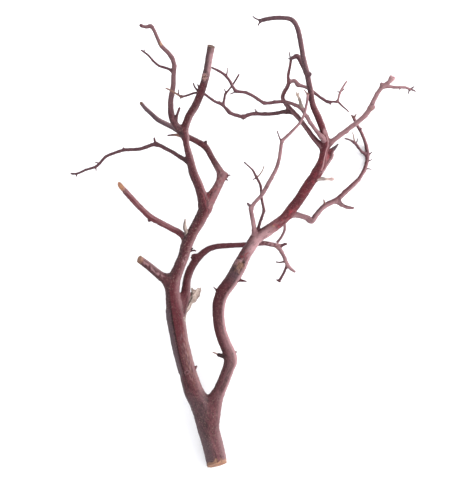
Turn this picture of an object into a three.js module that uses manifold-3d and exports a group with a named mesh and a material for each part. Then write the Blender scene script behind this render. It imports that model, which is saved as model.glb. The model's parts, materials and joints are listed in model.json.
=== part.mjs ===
// A fallen branch of manzanita, about 720 mm long, lying on a level surface.
//
// The wood grew as one crooked, much forked piece. Here it is split at its forks, so that every limb and
// every larger twig is a closed solid of its own, in its own mesh. Millimetres, +Z up. The sawn butt lies
// towards -Y and the twigs spread towards +Y. The branch rests on three places: the lower lip of its sawn
// butt, the sawn tip of the long limb on the left, and the bend of the arching limb on the right.
//
// Each limb is a route of bends, [x, y, z, thickness], from the wood that it grows out of to its tip. The
// first bend lies inside the older limb, and the new limb is cut away there with a thin gap. X and Y are
// measured from the butt, and Z from the surface that the branch lies on.

import * as THREE from "three";
import { mergeVertices } from "three/addons/utils/BufferGeometryUtils.js";
import Module from "manifold-3d";

const GAP = 0.3; // left between two pieces of wood that meet at a fork
const SAW_CROWN = 0.3; // how far the middle of a sawn face stands proud of its rim
const TIP_ROUNDING = 0.8; // length of a grown tip's dome, in tip radii
const STEP_IN_THICKNESSES = 1.35; // distance between two rings of a limb
const SHORTEST_STEP = 6.5;
const LONGEST_STEP = 16;
const FEWEST_RINGS = 5;
const SIDES = [
  { thicknessFrom: 16, sides: 10 },
  { thicknessFrom: 8, sides: 8 },
  { thicknessFrom: 0, sides: 6 },
];

const BARK = { color: "#74464c", roughness: 0.55, metalness: 0 };
const TWIG_BARK = { color: "#86565b", roughness: 0.6, metalness: 0 };
const DEAD_WOOD = { color: "#9b8a7c", roughness: 0.85, metalness: 0 };

const wasm = await Module();
wasm.setup();

const branch = new THREE.Group();
const grown = []; // every limb so far, as its solid's swollen copy and that copy's box

// ---------------------------------------------------------------- how a limb is made

// Rings along the route: a smooth curve through the bends, with steps that suit the thickness there.
function ringsAlong(route) {
  const curve = new THREE.CatmullRomCurve3(route.map(([x, y, z]) => new THREE.Vector3(x, y, z)));
  const spans = route.length - 1;
  const rings = [];
  for (let span = 0; span < spans; span++) {
    const [, , , before] = route[span];
    const [, , , after] = route[span + 1];
    const length = curve.getPoint(span / spans).distanceTo(curve.getPoint((span + 1) / spans));
    const wanted = THREE.MathUtils.clamp(
      ((before + after) / 2) * STEP_IN_THICKNESSES,
      SHORTEST_STEP,
      LONGEST_STEP,
    );
    const steps = Math.max(1, Math.round(length / wanted), Math.ceil(FEWEST_RINGS / spans));
    for (let step = span === 0 ? 0 : 1; step <= steps; step++) {
      const along = (span + step / steps) / spans;
      rings.push({
        centre: curve.getPoint(along),
        tangent: curve.getTangent(along),
        radius: THREE.MathUtils.lerp(before, after, step / steps) / 2,
      });
    }
  }
  return rings;
}

// A limb swollen by extra: a lathe turning, whose height counts the rings, bent so that each of its
// rings sits square across the route. Across leans over with the limb, so that its sides don't twist.
function limbGeometry(rings, sides, sawn, extra) {
  const first = rings[0];
  const last = rings[rings.length - 1];
  const dome = sawn ? SAW_CROWN : last.radius * TIP_ROUNDING;
  const stations = [
    { ...first, radius: 0, push: -extra },
    ...rings.map((ring) => ({ ...ring, radius: ring.radius + extra, push: 0 })),
    { ...last, radius: 0, push: dome + extra },
  ];
  stations[1].push = -extra;
  stations[rings.length].push = extra;
  const across = new THREE.Vector3(0, 0, 1);
  for (const station of stations) {
    across.addScaledVector(station.tangent, -across.dot(station.tangent)).normalize();
    station.across = across.clone();
    station.beside = new THREE.Vector3().crossVectors(station.tangent, across);
    station.centre = station.centre.clone().addScaledVector(station.tangent, station.push);
  }

  const profile = stations.map(({ radius }, index) => new THREE.Vector2(radius, index));
  const turned = new THREE.LatheGeometry(profile, sides);
  turned.deleteAttribute("normal");
  turned.deleteAttribute("uv");
  const geometry = mergeVertices(turned);
  const position = geometry.getAttribute("position");
  const corner = new THREE.Vector3();
  for (let vertex = 0; vertex < position.count; vertex++) {
    const index = Math.round(position.getY(vertex));
    const { centre, tangent, across: up, beside } = stations[index];
    corner
      .copy(centre)
      .addScaledVector(beside, position.getX(vertex))
      .addScaledVector(up, position.getZ(vertex));
    if (sawn && index === rings.length) {
      const behind = centre.clone().sub(corner).dot(sawn) / tangent.dot(sawn);
      corner.addScaledVector(tangent, behind);
    }
    position.setXYZ(vertex, corner.x, corner.y, corner.z);
  }
  return geometry;
}

function solidOf(geometry) {
  return new wasm.Manifold(
    new wasm.Mesh({
      numProp: 3,
      vertProperties: new Float32Array(geometry.getAttribute("position").array),
      triVerts: new Uint32Array(geometry.index.array),
    }),
  );
}

function geometryOf(solid) {
  const { numProp, numVert, vertProperties, triVerts } = solid.getMesh();
  const positions = new Float32Array(numVert * 3);
  for (let vertex = 0; vertex < numVert; vertex++) {
    positions.set(vertProperties.subarray(vertex * numProp, vertex * numProp + 3), vertex * 3);
  }
  return new THREE.BufferGeometry()
    .setAttribute("position", new THREE.BufferAttribute(positions, 3))
    .setIndex(new THREE.BufferAttribute(triVerts, 1));
}

// The largest body of a solid: a cut at a fork can leave crumbs.
function largest(solid) {
  return solid.decompose().reduce((most, body) => (body.volume() > most.volume() ? body : most));
}

// Grows one limb: its solid, less every older limb that it meets, as a named mesh in the branch.
function grow(name, finish, route, sawDirection = null) {
  const thickest = Math.max(...route.map(([, , , thickness]) => thickness));
  const { sides } = SIDES.find(({ thicknessFrom }) => thickest >= thicknessFrom);
  const rings = ringsAlong(route);
  const sawn = sawDirection && new THREE.Vector3(...sawDirection).normalize();
  const whole = limbGeometry(rings, sides, sawn, 0);
  whole.computeBoundingBox();
  const solid = grown
    .filter((older) => older.box.intersectsBox(whole.boundingBox))
    .reduce((left, older) => left.subtract(older.solid), solidOf(whole));
  const mesh = new THREE.Mesh(geometryOf(largest(solid)), new THREE.MeshStandardMaterial(finish));
  mesh.name = name;
  branch.add(mesh);
  grown.push({
    solid: solidOf(limbGeometry(rings, sides, sawn, GAP)),
    box: whole.boundingBox.clone().expandByScalar(GAP),
  });
}

// ---------------------------------------------------------------- the stem and the left leader

// The butt runs down from the main fork to the saw cut, which leans so that its lower lip touches down.
grow(
  "butt",
  BARK,
  [
    [-26, 101, 34, 32],
    [-16.6, 75, 30, 36.5],
    [-6, 37, 24, 34],
    [3.2, -4, 18, 33.4],
  ],
  [0.25, -1, 0.3],
);

grow("left_leader", BARK, [
  [-20.5, 86, 32, 28],
  [-34.5, 117, 37, 30.5],
  [-44, 147, 44, 27.5],
  [-56, 198, 54, 27],
  [-63, 239, 62, 28],
  [-66.5, 261, 67, 25.5],
  [-68.5, 285, 72, 22.5],
  [-66, 302, 76, 20.5],
  [-58, 321, 81, 18],
  [-50, 340, 86, 17.5],
  [-45.5, 356, 90, 18.5],
  [-36.8, 375, 95, 17.4],
  [-24.5, 396, 101, 18.2],
  [-16, 414, 106, 19],
]);

grow("left_upper_leader", BARK, [
  [-21, 401, 102, 15.5],
  [-17.5, 417, 107, 17],
  [-20.5, 435, 112, 16],
  [-25.5, 451, 117, 14.4],
  [-34.3, 473, 124, 14],
  [-39.5, 495, 130, 11.8],
  [-44, 514, 135, 9.8],
  [-46, 529, 139, 11],
  [-47, 538, 142, 12],
]);

grow(
  "tall_cut_limb",
  BARK,
  [
    [-46, 531, 140, 9],
    [-45.5, 545, 145, 12],
    [-40, 559, 152, 12],
    [-30, 575, 162, 12],
    [-22, 592, 173, 12.2],
    [-16.3, 608, 182, 12.2],
    [-11.5, 625, 192, 11.8],
    [-8.5, 643, 201, 11.6],
    [-4.5, 663, 210, 11.4],
  ],
  [0.3, 1, 0.5],
);

// ---------------------------------------------------------------- the right leader, up to the crown

grow("right_leader_lower", BARK, [
  [-11, 70, 28, 17],
  [-3, 93, 33, 20.5],
  [5.6, 116, 37, 19.6],
  [13.8, 136, 41, 19.8],
  [21.8, 157, 45, 20.4],
  [24.8, 169, 47, 21.6],
  [22.4, 182, 49, 20],
  [16, 198, 52, 19],
  [9, 218, 57, 18.8],
  [6, 239, 61, 19.2],
  [6, 260, 65, 20.3],
  [11.6, 279, 70, 21.3],
  [26.6, 300, 76, 22],
  [38, 320, 82, 22.8],
  [48, 340, 87, 19.4],
  [62, 362, 93, 18.4],
]);

grow("right_leader_upper", BARK, [
  [55, 349, 90, 16],
  [65.6, 367, 94, 18.4],
  [81.5, 378, 98, 18],
  [96, 388.3, 101, 16.6],
  [109, 398.3, 104, 16],
  [119, 410.5, 107, 16.6],
  [130, 424.5, 110, 16.8],
  [140.5, 439.5, 113, 17.2],
  [151, 455.5, 116, 17.3],
  [160.5, 469, 119, 14.8],
  [167.5, 482, 122, 12.6],
  [171, 496, 125, 12],
  [173.3, 507, 127, 12.4],
  [175.5, 516, 130, 13],
]);

// ---------------------------------------------------------------- limbs of the left leader

grow(
  "lower_left_stub",
  BARK,
  [
    [-65, 295, 74, 13],
    [-80, 302, 76, 14],
    [-93, 311, 79, 13],
    [-107, 323, 84, 11.8],
    [-122, 334.3, 90, 11],
  ],
  [-1, 0.5, 0.5],
);

// Comes down from the leader to the surface, and rests there on the lower lip of its slanting saw cut.
grow(
  "left_cut_limb",
  BARK,
  [
    [-41, 369, 93, 9.5],
    [-57, 377, 85, 10.2],
    [-76, 387, 73, 9.6],
    [-92, 395, 62, 9.6],
    [-104, 401.5, 54, 10.6],
    [-115, 411, 44, 9.4],
    [-136, 432, 26, 9.6],
    [-156, 454, 10.4, 9.4],
  ],
  [-0.7, 0.5, 0.75],
);

grow("pointed_dead_twig", DEAD_WOOD, [
  [-40, 373, 94, 5],
  [-46, 379, 99, 5.5],
  [-48, 387, 104, 5.5],
  [-47, 399, 109, 1.6],
]);

grow("dead_slab_stub", DEAD_WOOD, [
  [-60, 243, 60, 8],
  [-50.5, 249, 56, 9],
  [-44.5, 255, 54, 8.5],
  [-41, 262, 53, 8.5],
  [-36.8, 269, 52, 11.5],
  [-33.5, 276, 52, 14.5],
  [-31.5, 282, 52, 13],
]);

grow("elbow_limb", BARK, [
  [-16.5, 409, 104, 14],
  [-5.2, 433, 107, 15],
  [3.6, 449, 104, 14],
  [8.8, 460, 101, 14],
  [10.2, 469, 99, 13.6],
  [5.2, 480, 95, 11.3],
  [-3, 494, 90, 10],
  [-10.5, 508, 87, 10],
  [-17, 516.5, 86, 10.5],
  [-28, 523, 87, 9.4],
  [-40, 529, 90, 9],
  [-54, 537, 95, 8.8],
  [-67, 545, 101, 8.4],
  [-80, 551, 109, 8.4],
  [-91, 557, 117, 8],
  [-100, 565, 124, 7.2],
  [-108, 572, 131, 6.6],
  [-116, 581, 140, 5.2],
]);

grow("long_left_twig", TWIG_BARK, [
  [-39, 490, 129, 6.4],
  [-52, 495, 127, 6.6],
  [-66, 504, 122, 6],
  [-80, 511.5, 117.5, 5.8],
  [-93, 517.5, 113, 6.2],
  [-105, 515, 109, 5.6],
  [-119, 510.5, 104, 5.2],
  [-146, 509, 95, 4.8],
  [-160, 505, 90, 4.4],
  [-176, 498.5, 84, 4.2],
  [-184, 490, 80, 4],
  [-191.5, 483.5, 76, 3.8],
  [-208, 478.5, 70, 3.4],
  [-224, 472.5, 62, 3.1],
  [-234.5, 473, 58, 2.5],
]);

grow("tan_thorn_twig", TWIG_BARK, [
  [-46, 529, 139, 5.7],
  [-54, 530, 138, 5.2],
  [-62, 531, 137, 3.7],
  [-75, 530, 135, 2.1],
]);

grow("crooked_top_limb", BARK, [
  [-46, 534, 141, 9],
  [-54, 540, 144, 10],
  [-61, 546, 147, 10.5],
  [-67, 559, 150, 10.5],
  [-69, 575, 152, 8.8],
  [-68, 590, 153, 8.2],
  [-65, 605, 153, 7.8],
  [-64, 624, 155, 7.2],
  [-63, 637, 157, 6.6],
  [-66, 650, 157, 6.9],
  [-73, 659, 157, 6.4],
  [-83, 669, 155, 6.2],
  [-90, 683, 152, 5.3],
  [-95, 694, 150, 5.1],
  [-100, 701, 149, 4.9],
  [-108, 700, 148, 4.2],
  [-116, 702, 149, 4.4],
]);

grow("crook_side_twig", TWIG_BARK, [
  [-62, 628, 155, 3.9],
  [-74, 634, 154, 3.7],
  [-88, 639, 152, 3.3],
  [-95, 645, 151, 3.1],
  [-104, 655, 150, 2.9],
  [-116, 664, 148, 2.1],
]);

grow("fork_twiglet", TWIG_BARK, [
  [-61, 546, 146, 4.1],
  [-60, 554, 151, 3.7],
  [-58, 563, 155, 3.7],
  [-54, 573, 160, 3.3],
]);

// ---------------------------------------------------------------- the limb that passes under the right leader

grow("under_limb", BARK, [
  [-57, 253, 64, 12.5],
  [-49.5, 270, 61, 14.5],
  [-47.2, 286, 58, 13.8],
  [-45.5, 301, 55, 12.4],
  [-40.6, 316, 52, 12.8],
  [-33.4, 329, 49, 12.6],
  [-24.5, 339.5, 47, 11.4],
  [-12, 349.5, 45, 9.6],
  [0, 354, 44, 9],
  [20, 356, 42, 8.6],
  [45, 357, 40, 8.4],
  [62, 358, 38, 8.4],
  [78, 360, 37, 7.9],
  [92, 358, 35, 7.4],
  [105, 355, 33, 7.3],
]);

grow("under_limb_fork", TWIG_BARK, [
  [99, 357, 34, 5.2],
  [108, 347, 30, 5.7],
  [115, 332, 26, 5.5],
  [119, 324, 23, 5.7],
  [124, 318, 20, 4.7],
  [132, 312, 17, 3.3],
]);

grow("under_t_twig", TWIG_BARK, [
  [119, 327, 23, 3.7],
  [115, 317, 20, 3.7],
  [111, 308, 17, 3.7],
  [105, 298, 14, 3.9],
]);

// ---------------------------------------------------------------- limbs of the right leader

grow("long_front_twig", TWIG_BARK, [
  [61, 364, 94, 6.7],
  [63, 378, 101, 7.2],
  [61, 395, 106, 6.7],
  [58, 414, 112, 6.5],
  [64, 425, 116, 5.5],
  [75, 437, 121, 5.7],
  [82, 449, 126, 6.2],
  [89, 462, 131, 5.9],
  [97, 477, 138, 5.5],
  [102, 494, 144, 5.2],
  [104, 508, 149, 5.2],
  [106, 520, 154, 5.2],
  [114, 528, 157, 4.3],
  [125, 539, 160, 3.9],
  [134, 549, 162, 3.7],
  [140, 561, 165, 3.7],
  [143, 573, 168, 3.7],
  [145, 586, 171, 3.5],
  [145, 593, 172, 3.1],
]);

grow("fan_twig", TWIG_BARK, [
  [65, 369, 94, 4.7],
  [69, 383, 99, 4.5],
  [73, 396, 102, 4.3],
  [78, 412, 106, 4.3],
  [76, 424, 108, 3.9],
  [74, 437, 111, 3.7],
  [73, 451, 114, 3.7],
  [69, 460, 116, 3.7],
  [65, 467, 118, 3.5],
  [61, 475, 120, 2.7],
  [54, 482, 122, 2.1],
  [46, 489, 124, 1.9],
]);

grow("hanging_twig", TWIG_BARK, [
  [107, 399, 103, 4.5],
  [111, 392, 94, 4.3],
  [112, 382, 86, 3.9],
  [107, 370, 77, 3.7],
  [100, 361, 68, 3.5],
]);

// Comes down to the surface at its widest bend, rests there, and rises again towards its tip.
grow("arching_right_limb", BARK, [
  [113, 404, 105, 9],
  [126, 406, 98, 9.6],
  [138, 404, 90, 8.3],
  [147, 401, 84, 8.3],
  [155.5, 396, 79, 9],
  [164.5, 407, 71, 8.3],
  [174.5, 418, 62, 7.8],
  [184, 424, 54, 8.3],
  [197, 430, 45, 8.6],
  [210, 440.8, 35, 7.8],
  [222, 452, 27, 8.3],
  [235.5, 465, 18, 6.7],
  [245.6, 481, 9, 6.2],
  [250.5, 496, 4.3, 5.9],
  [251.5, 508, 3.3, 6],
  [249.5, 519, 6, 5.4],
  [243.5, 534, 16, 5],
  [236.5, 547, 25, 4.9],
  [230.5, 556, 32, 4.7],
  [225.5, 566, 41, 4.7],
]);

grow("arch_side_twig", TWIG_BARK, [
  [196, 431, 45, 6.1],
  [206, 423, 43, 5.9],
  [214, 419, 42, 5.2],
  [220, 418, 41, 4.7],
  [226, 417, 41, 3.7],
]);

grow("arch_fan_twig", TWIG_BARK, [
  [251, 505, 3.4, 3.7],
  [242, 510, 7, 3.7],
  [234, 520, 11, 3.9],
  [229, 525, 15, 4.1],
  [220, 530, 19, 2.3],
  [212, 532, 22, 1.9],
]);

grow("pale_stub", DEAD_WOOD, [
  [157, 463, 117, 6],
  [169, 462.5, 116, 5.6],
  [178, 462, 115, 4.2],
  [187, 462, 114.5, 3.8],
]);

grow("broken_prong", BARK, [
  [154, 460, 115, 12],
  [167, 475, 114, 13],
  [175, 487.5, 113, 13.5],
  [180.5, 497.5, 113, 13.5],
  [183.6, 504.5, 113, 11.8],
  [187.8, 508.8, 113, 7],
  [192, 513, 113, 4.8],
  [197, 518.5, 113, 1.8],
]);

// ---------------------------------------------------------------- the crown, where four limbs leave together

grow("tall_hooked_limb", BARK, [
  [173.5, 510, 128, 10.5],
  [175, 524, 132, 12.5],
  [170, 541, 138, 11.4],
  [161.8, 561, 147, 10.6],
  [153.8, 578, 155, 10],
  [150.8, 594, 162, 9.4],
  [148, 607, 168, 9.2],
  [144, 625, 176, 9],
  [137.8, 649, 185, 8],
  [133.4, 672, 194, 7.8],
  [128.6, 691, 201, 8.2],
  [124.6, 699, 203, 7.8],
  [118, 705, 204, 7],
  [108, 707, 204, 6.6],
  [90, 707, 202, 6.5],
  [71, 704, 198, 6.3],
]);

grow("dark_hooked_twig", TWIG_BARK, [
  [144, 617, 172, 6],
  [140, 628, 172, 6],
  [137, 638, 170, 6],
  [133, 646, 169, 6.2],
  [129, 652, 169, 6],
  [124, 650, 171, 5.4],
  [119, 647, 174, 4.4],
]);

grow("crown_left_limb", BARK, [
  [172, 505, 126, 9],
  [166.5, 514.5, 128, 9],
  [156.5, 527, 129, 8.2],
  [144, 544, 129, 7.8],
  [131.5, 560, 129, 7.8],
  [120.5, 571, 129, 8.2],
  [112, 581.5, 130, 6.8],
  [107.5, 590.5, 133, 6.2],
  [110.3, 599, 138, 6.4],
  [115, 607, 144, 6.2],
  [116.5, 613, 147, 5.4],
  [115.5, 622, 151, 4.3],
  [118, 636, 157, 3.9],
  [120, 649, 163, 3.7],
]);

// Passes under the tall hooked limb and comes out on its far side.
grow("crown_loop_twig", TWIG_BARK, [
  [111, 603, 141, 5.2],
  [119, 611, 145, 5.5],
  [126, 615, 146, 5.3],
  [131, 609, 147, 5.1],
  [138, 607, 148, 4.9],
  [146, 604, 149, 4.7],
  [156, 597, 150, 4.5],
  [166, 589, 151, 4.3],
  [178, 582, 152, 4.3],
  [186, 582, 153, 3.1],
  [192, 582, 155, 3.1],
  [195, 591, 158, 2.9],
  [198, 599, 160, 2.9],
  [207, 614, 166, 2.1],
]);

grow("low_crossing_limb", TWIG_BARK, [
  [122, 570, 129, 6],
  [110, 568, 130, 6],
  [94, 565, 131, 5.7],
  [78, 564, 133, 5.6],
  [62, 564.3, 136, 5.6],
  [53, 562.3, 138, 5.6],
  [45, 559.3, 139, 5.6],
  [35, 561.3, 142, 5.2],
  [23, 566, 146, 5],
  [13, 577, 150, 4.2],
  [1, 582, 154, 3.8],
  [-8, 588, 157, 3.6],
  [-17, 594, 160, 3.4],
  [-30, 595, 164, 3],
  [-42, 591, 166, 3],
  [-51, 589, 166, 3.1],
  [-57, 592, 165, 2.6],
  [-65, 597, 164, 2.4],
  [-77, 603, 162, 1.9],
]);

grow("crossing_side_twig", TWIG_BARK, [
  [13, 576, 150, 3.5],
  [15, 585, 151, 3.3],
  [17, 594, 152, 3.1],
  [22, 600, 154, 2.5],
  [29, 609, 157, 2.5],
  [39, 625, 160, 2.3],
]);

grow("crown_front_limb", TWIG_BARK, [
  [177.5, 514, 131, 6.5],
  [174.5, 520, 138, 6.5],
  [168.3, 527, 143, 6.2],
  [159.5, 537.5, 145, 5.8],
  [150.8, 549.5, 147, 5.6],
  [142.5, 562, 150, 5.6],
  [137.5, 570, 151, 5.4],
  [129, 576, 152, 5],
  [118, 580, 154, 5],
  [107, 582, 155, 5],
  [94, 581, 157, 4.9],
  [79, 579.5, 160, 4.9],
  [64, 588, 164, 4.8],
  [50, 595, 168, 4.6],
  [33, 598, 171, 4.3],
  [25, 611, 175, 4],
  [16, 622, 178, 4],
  [6, 628, 181, 3.6],
  [-5, 633, 184, 2.4],
]);

grow("crown_dead_twig", DEAD_WOOD, [
  [138.5, 568, 151, 4.2],
  [136, 577, 153, 4.4],
  [133, 586, 155, 4.2],
  [130, 593, 157, 2.8],
]);

grow("crown_right_limb", BARK, [
  [176, 512, 129, 8],
  [184.5, 520, 132, 7.6],
  [197.5, 530, 136, 7.4],
  [211.5, 540.8, 141, 7.6],
  [225.5, 551, 146, 7.8],
  [236.3, 560.8, 152, 8],
  [242.8, 570, 156, 8.1],
  [247.8, 581, 161, 7.1],
  [254.7, 594, 166, 6.7],
  [262.7, 605, 172, 6.9],
  [270.5, 610, 176, 6.2],
  [276.5, 616, 180, 6.8],
]);

grow("crown_right_tip_twig", TWIG_BARK, [
  [262, 604, 172, 5.1],
  [272, 604, 172, 4.7],
  [284, 603, 171, 4.3],
  [297, 603, 170, 3.7],
  [308, 599, 169, 3.1],
]);

// ---------------------------------------------------------------- the branch's own frame

// The origin is the middle of the branch's box, on the surface that the branch lies on.
const box = new THREE.Box3().setFromObject(branch);
const middle = box.getCenter(new THREE.Vector3());
branch.position.set(-middle.x, -middle.y, -box.min.z);

export default branch;
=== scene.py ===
"""A fallen branch of manzanita, lying on a pale surface and seen from straight above.

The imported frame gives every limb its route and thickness. Here the same wood gets its real surface: limbs
that run on through their forks without a seam, red bark with streaks, specks and scars, grey dead wood,
saw cuts, thorns and twiglets. Lengths are in metres, as in the frame, and MM turns millimetres into them.
"""

import json
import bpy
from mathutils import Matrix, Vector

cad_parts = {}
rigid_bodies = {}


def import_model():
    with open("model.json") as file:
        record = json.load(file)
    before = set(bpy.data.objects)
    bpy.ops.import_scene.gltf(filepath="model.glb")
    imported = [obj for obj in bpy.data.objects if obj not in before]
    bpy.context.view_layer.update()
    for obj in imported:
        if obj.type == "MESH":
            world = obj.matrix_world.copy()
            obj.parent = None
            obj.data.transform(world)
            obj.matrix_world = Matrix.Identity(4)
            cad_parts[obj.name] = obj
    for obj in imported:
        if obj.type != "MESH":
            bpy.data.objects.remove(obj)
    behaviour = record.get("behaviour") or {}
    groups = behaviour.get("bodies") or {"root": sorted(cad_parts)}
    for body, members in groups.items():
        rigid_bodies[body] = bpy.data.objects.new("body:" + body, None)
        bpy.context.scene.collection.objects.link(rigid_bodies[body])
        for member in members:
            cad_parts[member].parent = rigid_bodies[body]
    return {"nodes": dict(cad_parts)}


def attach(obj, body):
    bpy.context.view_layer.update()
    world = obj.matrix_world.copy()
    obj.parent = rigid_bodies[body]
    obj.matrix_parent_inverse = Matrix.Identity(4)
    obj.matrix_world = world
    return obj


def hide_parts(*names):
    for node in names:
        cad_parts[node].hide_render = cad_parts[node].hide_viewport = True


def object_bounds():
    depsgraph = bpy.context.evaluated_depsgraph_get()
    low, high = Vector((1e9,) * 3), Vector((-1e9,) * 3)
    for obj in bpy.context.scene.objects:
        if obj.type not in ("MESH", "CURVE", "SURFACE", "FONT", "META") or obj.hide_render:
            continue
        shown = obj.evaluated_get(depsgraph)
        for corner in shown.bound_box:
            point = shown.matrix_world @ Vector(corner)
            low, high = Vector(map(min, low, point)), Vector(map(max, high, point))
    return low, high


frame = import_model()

from types import SimpleNamespace

import bpy
import numpy as np
from mathutils import Vector

cad_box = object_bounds()
MM = 0.001

# ------------------------------------------------------------------------------- how the branch forks
# A branch is one piece of hard wood that grew as a tree of limbs. Each limb is a pith line with a girth
# along it, from its foot inside its parent to its tip. The stem runs on from the sawn butt through the
# left leader into the tall cut limb, and the right leader runs on into the tall hooked limb.

RING_SIDES = (6, 8, 10)  # corners of a limb's ring in the frame
PITH_STEP = 1.0 * MM  # between two points of a pith line
COARSE_STEP = 4 * MM  # the same, where only the distance to a limb is wanted
FOOT_GIRTH = 0.45  # of its full girth, where a limb starts at its parent's pith
FOOT_SLIDE = 2.0  # how far down the parent's pith a foot slides, in radii times the limb's share of girth
TWIG_BARK = 0.25 * MM  # that a twig's bark, buds and lichen add to its radius
COLLAR = 0.16  # swelling of a limb where it leaves its parent


def smoothstep(low, high, values):
    """0 below low, 1 above high, and a smooth slope between them: 3 shares squared less 2 cubed."""
    share = np.clip((values - low) / (high - low), 0, 1)
    return share * share * (3 - 2 * share)


def rings_of(node):
    """A node's rings from its tip to its foot: their middles, their radii, and the tip's plane.

    A limb in the frame is a tube of rings that closes in a point at its tip. That point is the corner
    whose neighbours form a ring with a second ring of as many beyond it. Each further ring is what the
    last one is linked to, until the end of the limb breaks the count.
    """
    mesh = frame["nodes"][node].data
    corners = np.empty(len(mesh.vertices) * 3)
    mesh.vertices.foreach_get("co", corners)
    corner_of = np.empty(len(mesh.loops), int)
    mesh.loops.foreach_get("vertex_index", corner_of)
    points, merged = np.unique(np.round(corners.reshape(-1, 3), 6), axis=0, return_inverse=True)
    faces = merged.ravel()[corner_of].reshape(-1, 3)
    linked = np.zeros((len(points), len(points)), bool)
    for first, second in ((0, 1), (1, 2), (2, 0)):
        linked[faces[:, first], faces[:, second]] = True
        linked[faces[:, second], faces[:, first]] = True
    np.fill_diagonal(linked, False)
    near = linked.sum(1)
    two_away = (linked.astype(int) @ linked.astype(int) > 0) & ~linked
    np.fill_diagonal(two_away, False)

    walks = []
    for pole in np.flatnonzero(np.isin(near, RING_SIDES) & (two_away.sum(1) == near)):
        past = np.arange(len(points)) == pole
        ring = linked[pole]
        walk = []
        while ring.sum() == near[pole]:
            walk.append(points[ring])
            past = past | ring
            ring = linked[ring].any(0) & ~past
        walks.append(walk)
    rings = max(walks, key=lambda walk: (len(walk), -walk[0][:, 1].mean()))

    middles = np.array([ring.mean(0) for ring in rings])
    along = np.gradient(middles, axis=0)
    along /= np.linalg.norm(along, axis=1)[:, None]
    spokes = [ring - middle for ring, middle in zip(rings, middles)]
    away = [spoke - np.outer(spoke @ way, way) for spoke, way in zip(spokes, along)]
    radii = np.array([np.linalg.norm(spoke, axis=1).mean() for spoke in away])
    return middles, radii, np.linalg.svd(spokes[0])[2][2]


def smooth_line(points, radii, step):
    """A pith line with even steps: a Catmull-Rom curve through the points, with the girth along it and the
    length down to each of its points.
    """
    ends = np.vstack([2 * points[0] - points[1], points, 2 * points[-1] - points[-2]])
    gaps = np.linalg.norm(np.diff(points, axis=0), axis=1)
    length = np.concatenate([[0], np.cumsum(gaps)])
    wanted = np.linspace(0, length[-1], max(4, int(length[-1] / step) + 1))
    span = np.clip(np.searchsorted(length, wanted, side="right") - 1, 0, len(points) - 2)
    share = ((wanted - length[span]) / gaps[span])[:, None]
    a, b, c, d = (ends[span + offset] for offset in range(4))
    curve = b + 0.5 * share * (c - a + share * (2 * a - 5 * b + 4 * c - d + share * (3 * (b - c) + d - a)))
    down = np.concatenate([[0], np.cumsum(np.linalg.norm(np.diff(curve, axis=0), axis=1))])
    return curve, np.interp(wanted, length, radii), down


def gap_to(limb, places):
    """How far each place is from a limb's surface: the least over its spans, negative inside the wood."""
    line, girth = limb.coarse, limb.coarse_girth
    least = np.full(len(places), 1.0)
    for start, end, thick, thin in zip(line[:-1], line[1:], girth[:-1], girth[1:]):
        way = end - start
        share = np.clip((places - start) @ way / (way @ way), 0, 1)
        away = np.linalg.norm(places - start - share[:, None] * way, axis=1)
        least = np.minimum(least, away - thick - share * (thin - thick))
    return least


def add_limb(name, parent=None, tip="grown", foot_girth=FOOT_GIRTH, slide=FOOT_SLIDE, nodes=None):
    """Reads a limb from its nodes, foot first, and roots it in its parent's pith. Most are one node.

    The foot lies where the limb's first stretch, carried straight on backwards, is deepest in the parent,
    and further down for a limb that is nearly as thick. The girth grows from its share at the foot to its
    full size as the pith comes out of the parent's core, and swells by COLLAR at the parent's surface.
    """
    nodes = nodes or [name]
    middles, radii, planes = [], [], []
    for node in nodes:
        ring_middles, ring_radii, plane = rings_of(node)
        turn = 1 if node == "butt" else -1  # rings count from a tip, but the butt's from its sawn foot
        middles.append(ring_middles[::turn])
        radii.append(ring_radii[::turn])
        planes.append(plane)
    middles, radii = np.vstack(middles), np.concatenate(radii)
    if parent:
        parent = limbs[parent]
        back = middles[0] - middles[min(2, len(middles) - 1)]
        back /= np.linalg.norm(back)
        nearest = np.linalg.norm(parent.line - middles[0], axis=1).argmin()
        core = parent.girth[nearest]
        steps = np.linspace(0.2, 2.4, 40) * core  # back from its first ring, in the parent's radii
        behind = middles[0] + steps[:, None] * back
        deepest = behind[gap_to(parent, behind).argmin()]
        slide *= min(radii[0], core) ** 2 / core
        foot_row = np.linalg.norm(parent.line - deepest, axis=1).argmin() - int(slide / PITH_STEP)
        foot = parent.line[max(foot_row, 0)]
        middles = np.vstack([foot, middles])
        radii = np.concatenate([radii[:1], radii])
    line, girth, down = smooth_line(middles, radii, PITH_STEP)
    girth += TWIG_BARK * smoothstep(5 * MM, 2 * MM, girth)
    clear = np.ones(len(line))
    if parent:
        gap = gap_to(parent, line)
        clear = np.maximum.accumulate(gap)
        girth *= foot_girth + (1 - foot_girth) * smoothstep(-1.0, -0.25, clear / core)
        girth *= 1 + COLLAR * np.exp(-((np.clip(clear, 0, None) / (1.6 * radii[0])) ** 2))
    every = np.linspace(0, len(line) - 1, max(4, int(down[-1] / COARSE_STEP) + 1)).astype(int)
    limbs[name] = SimpleNamespace(
        name=name, nodes=nodes, parent=parent, tip=tip, line=line, girth=girth, down=down, clear=clear,
        coarse=line[every], coarse_girth=girth[every], foot_plane=planes[0], tip_plane=planes[-1],
        mates=[], sprouts=[], tints={},
    )


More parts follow.
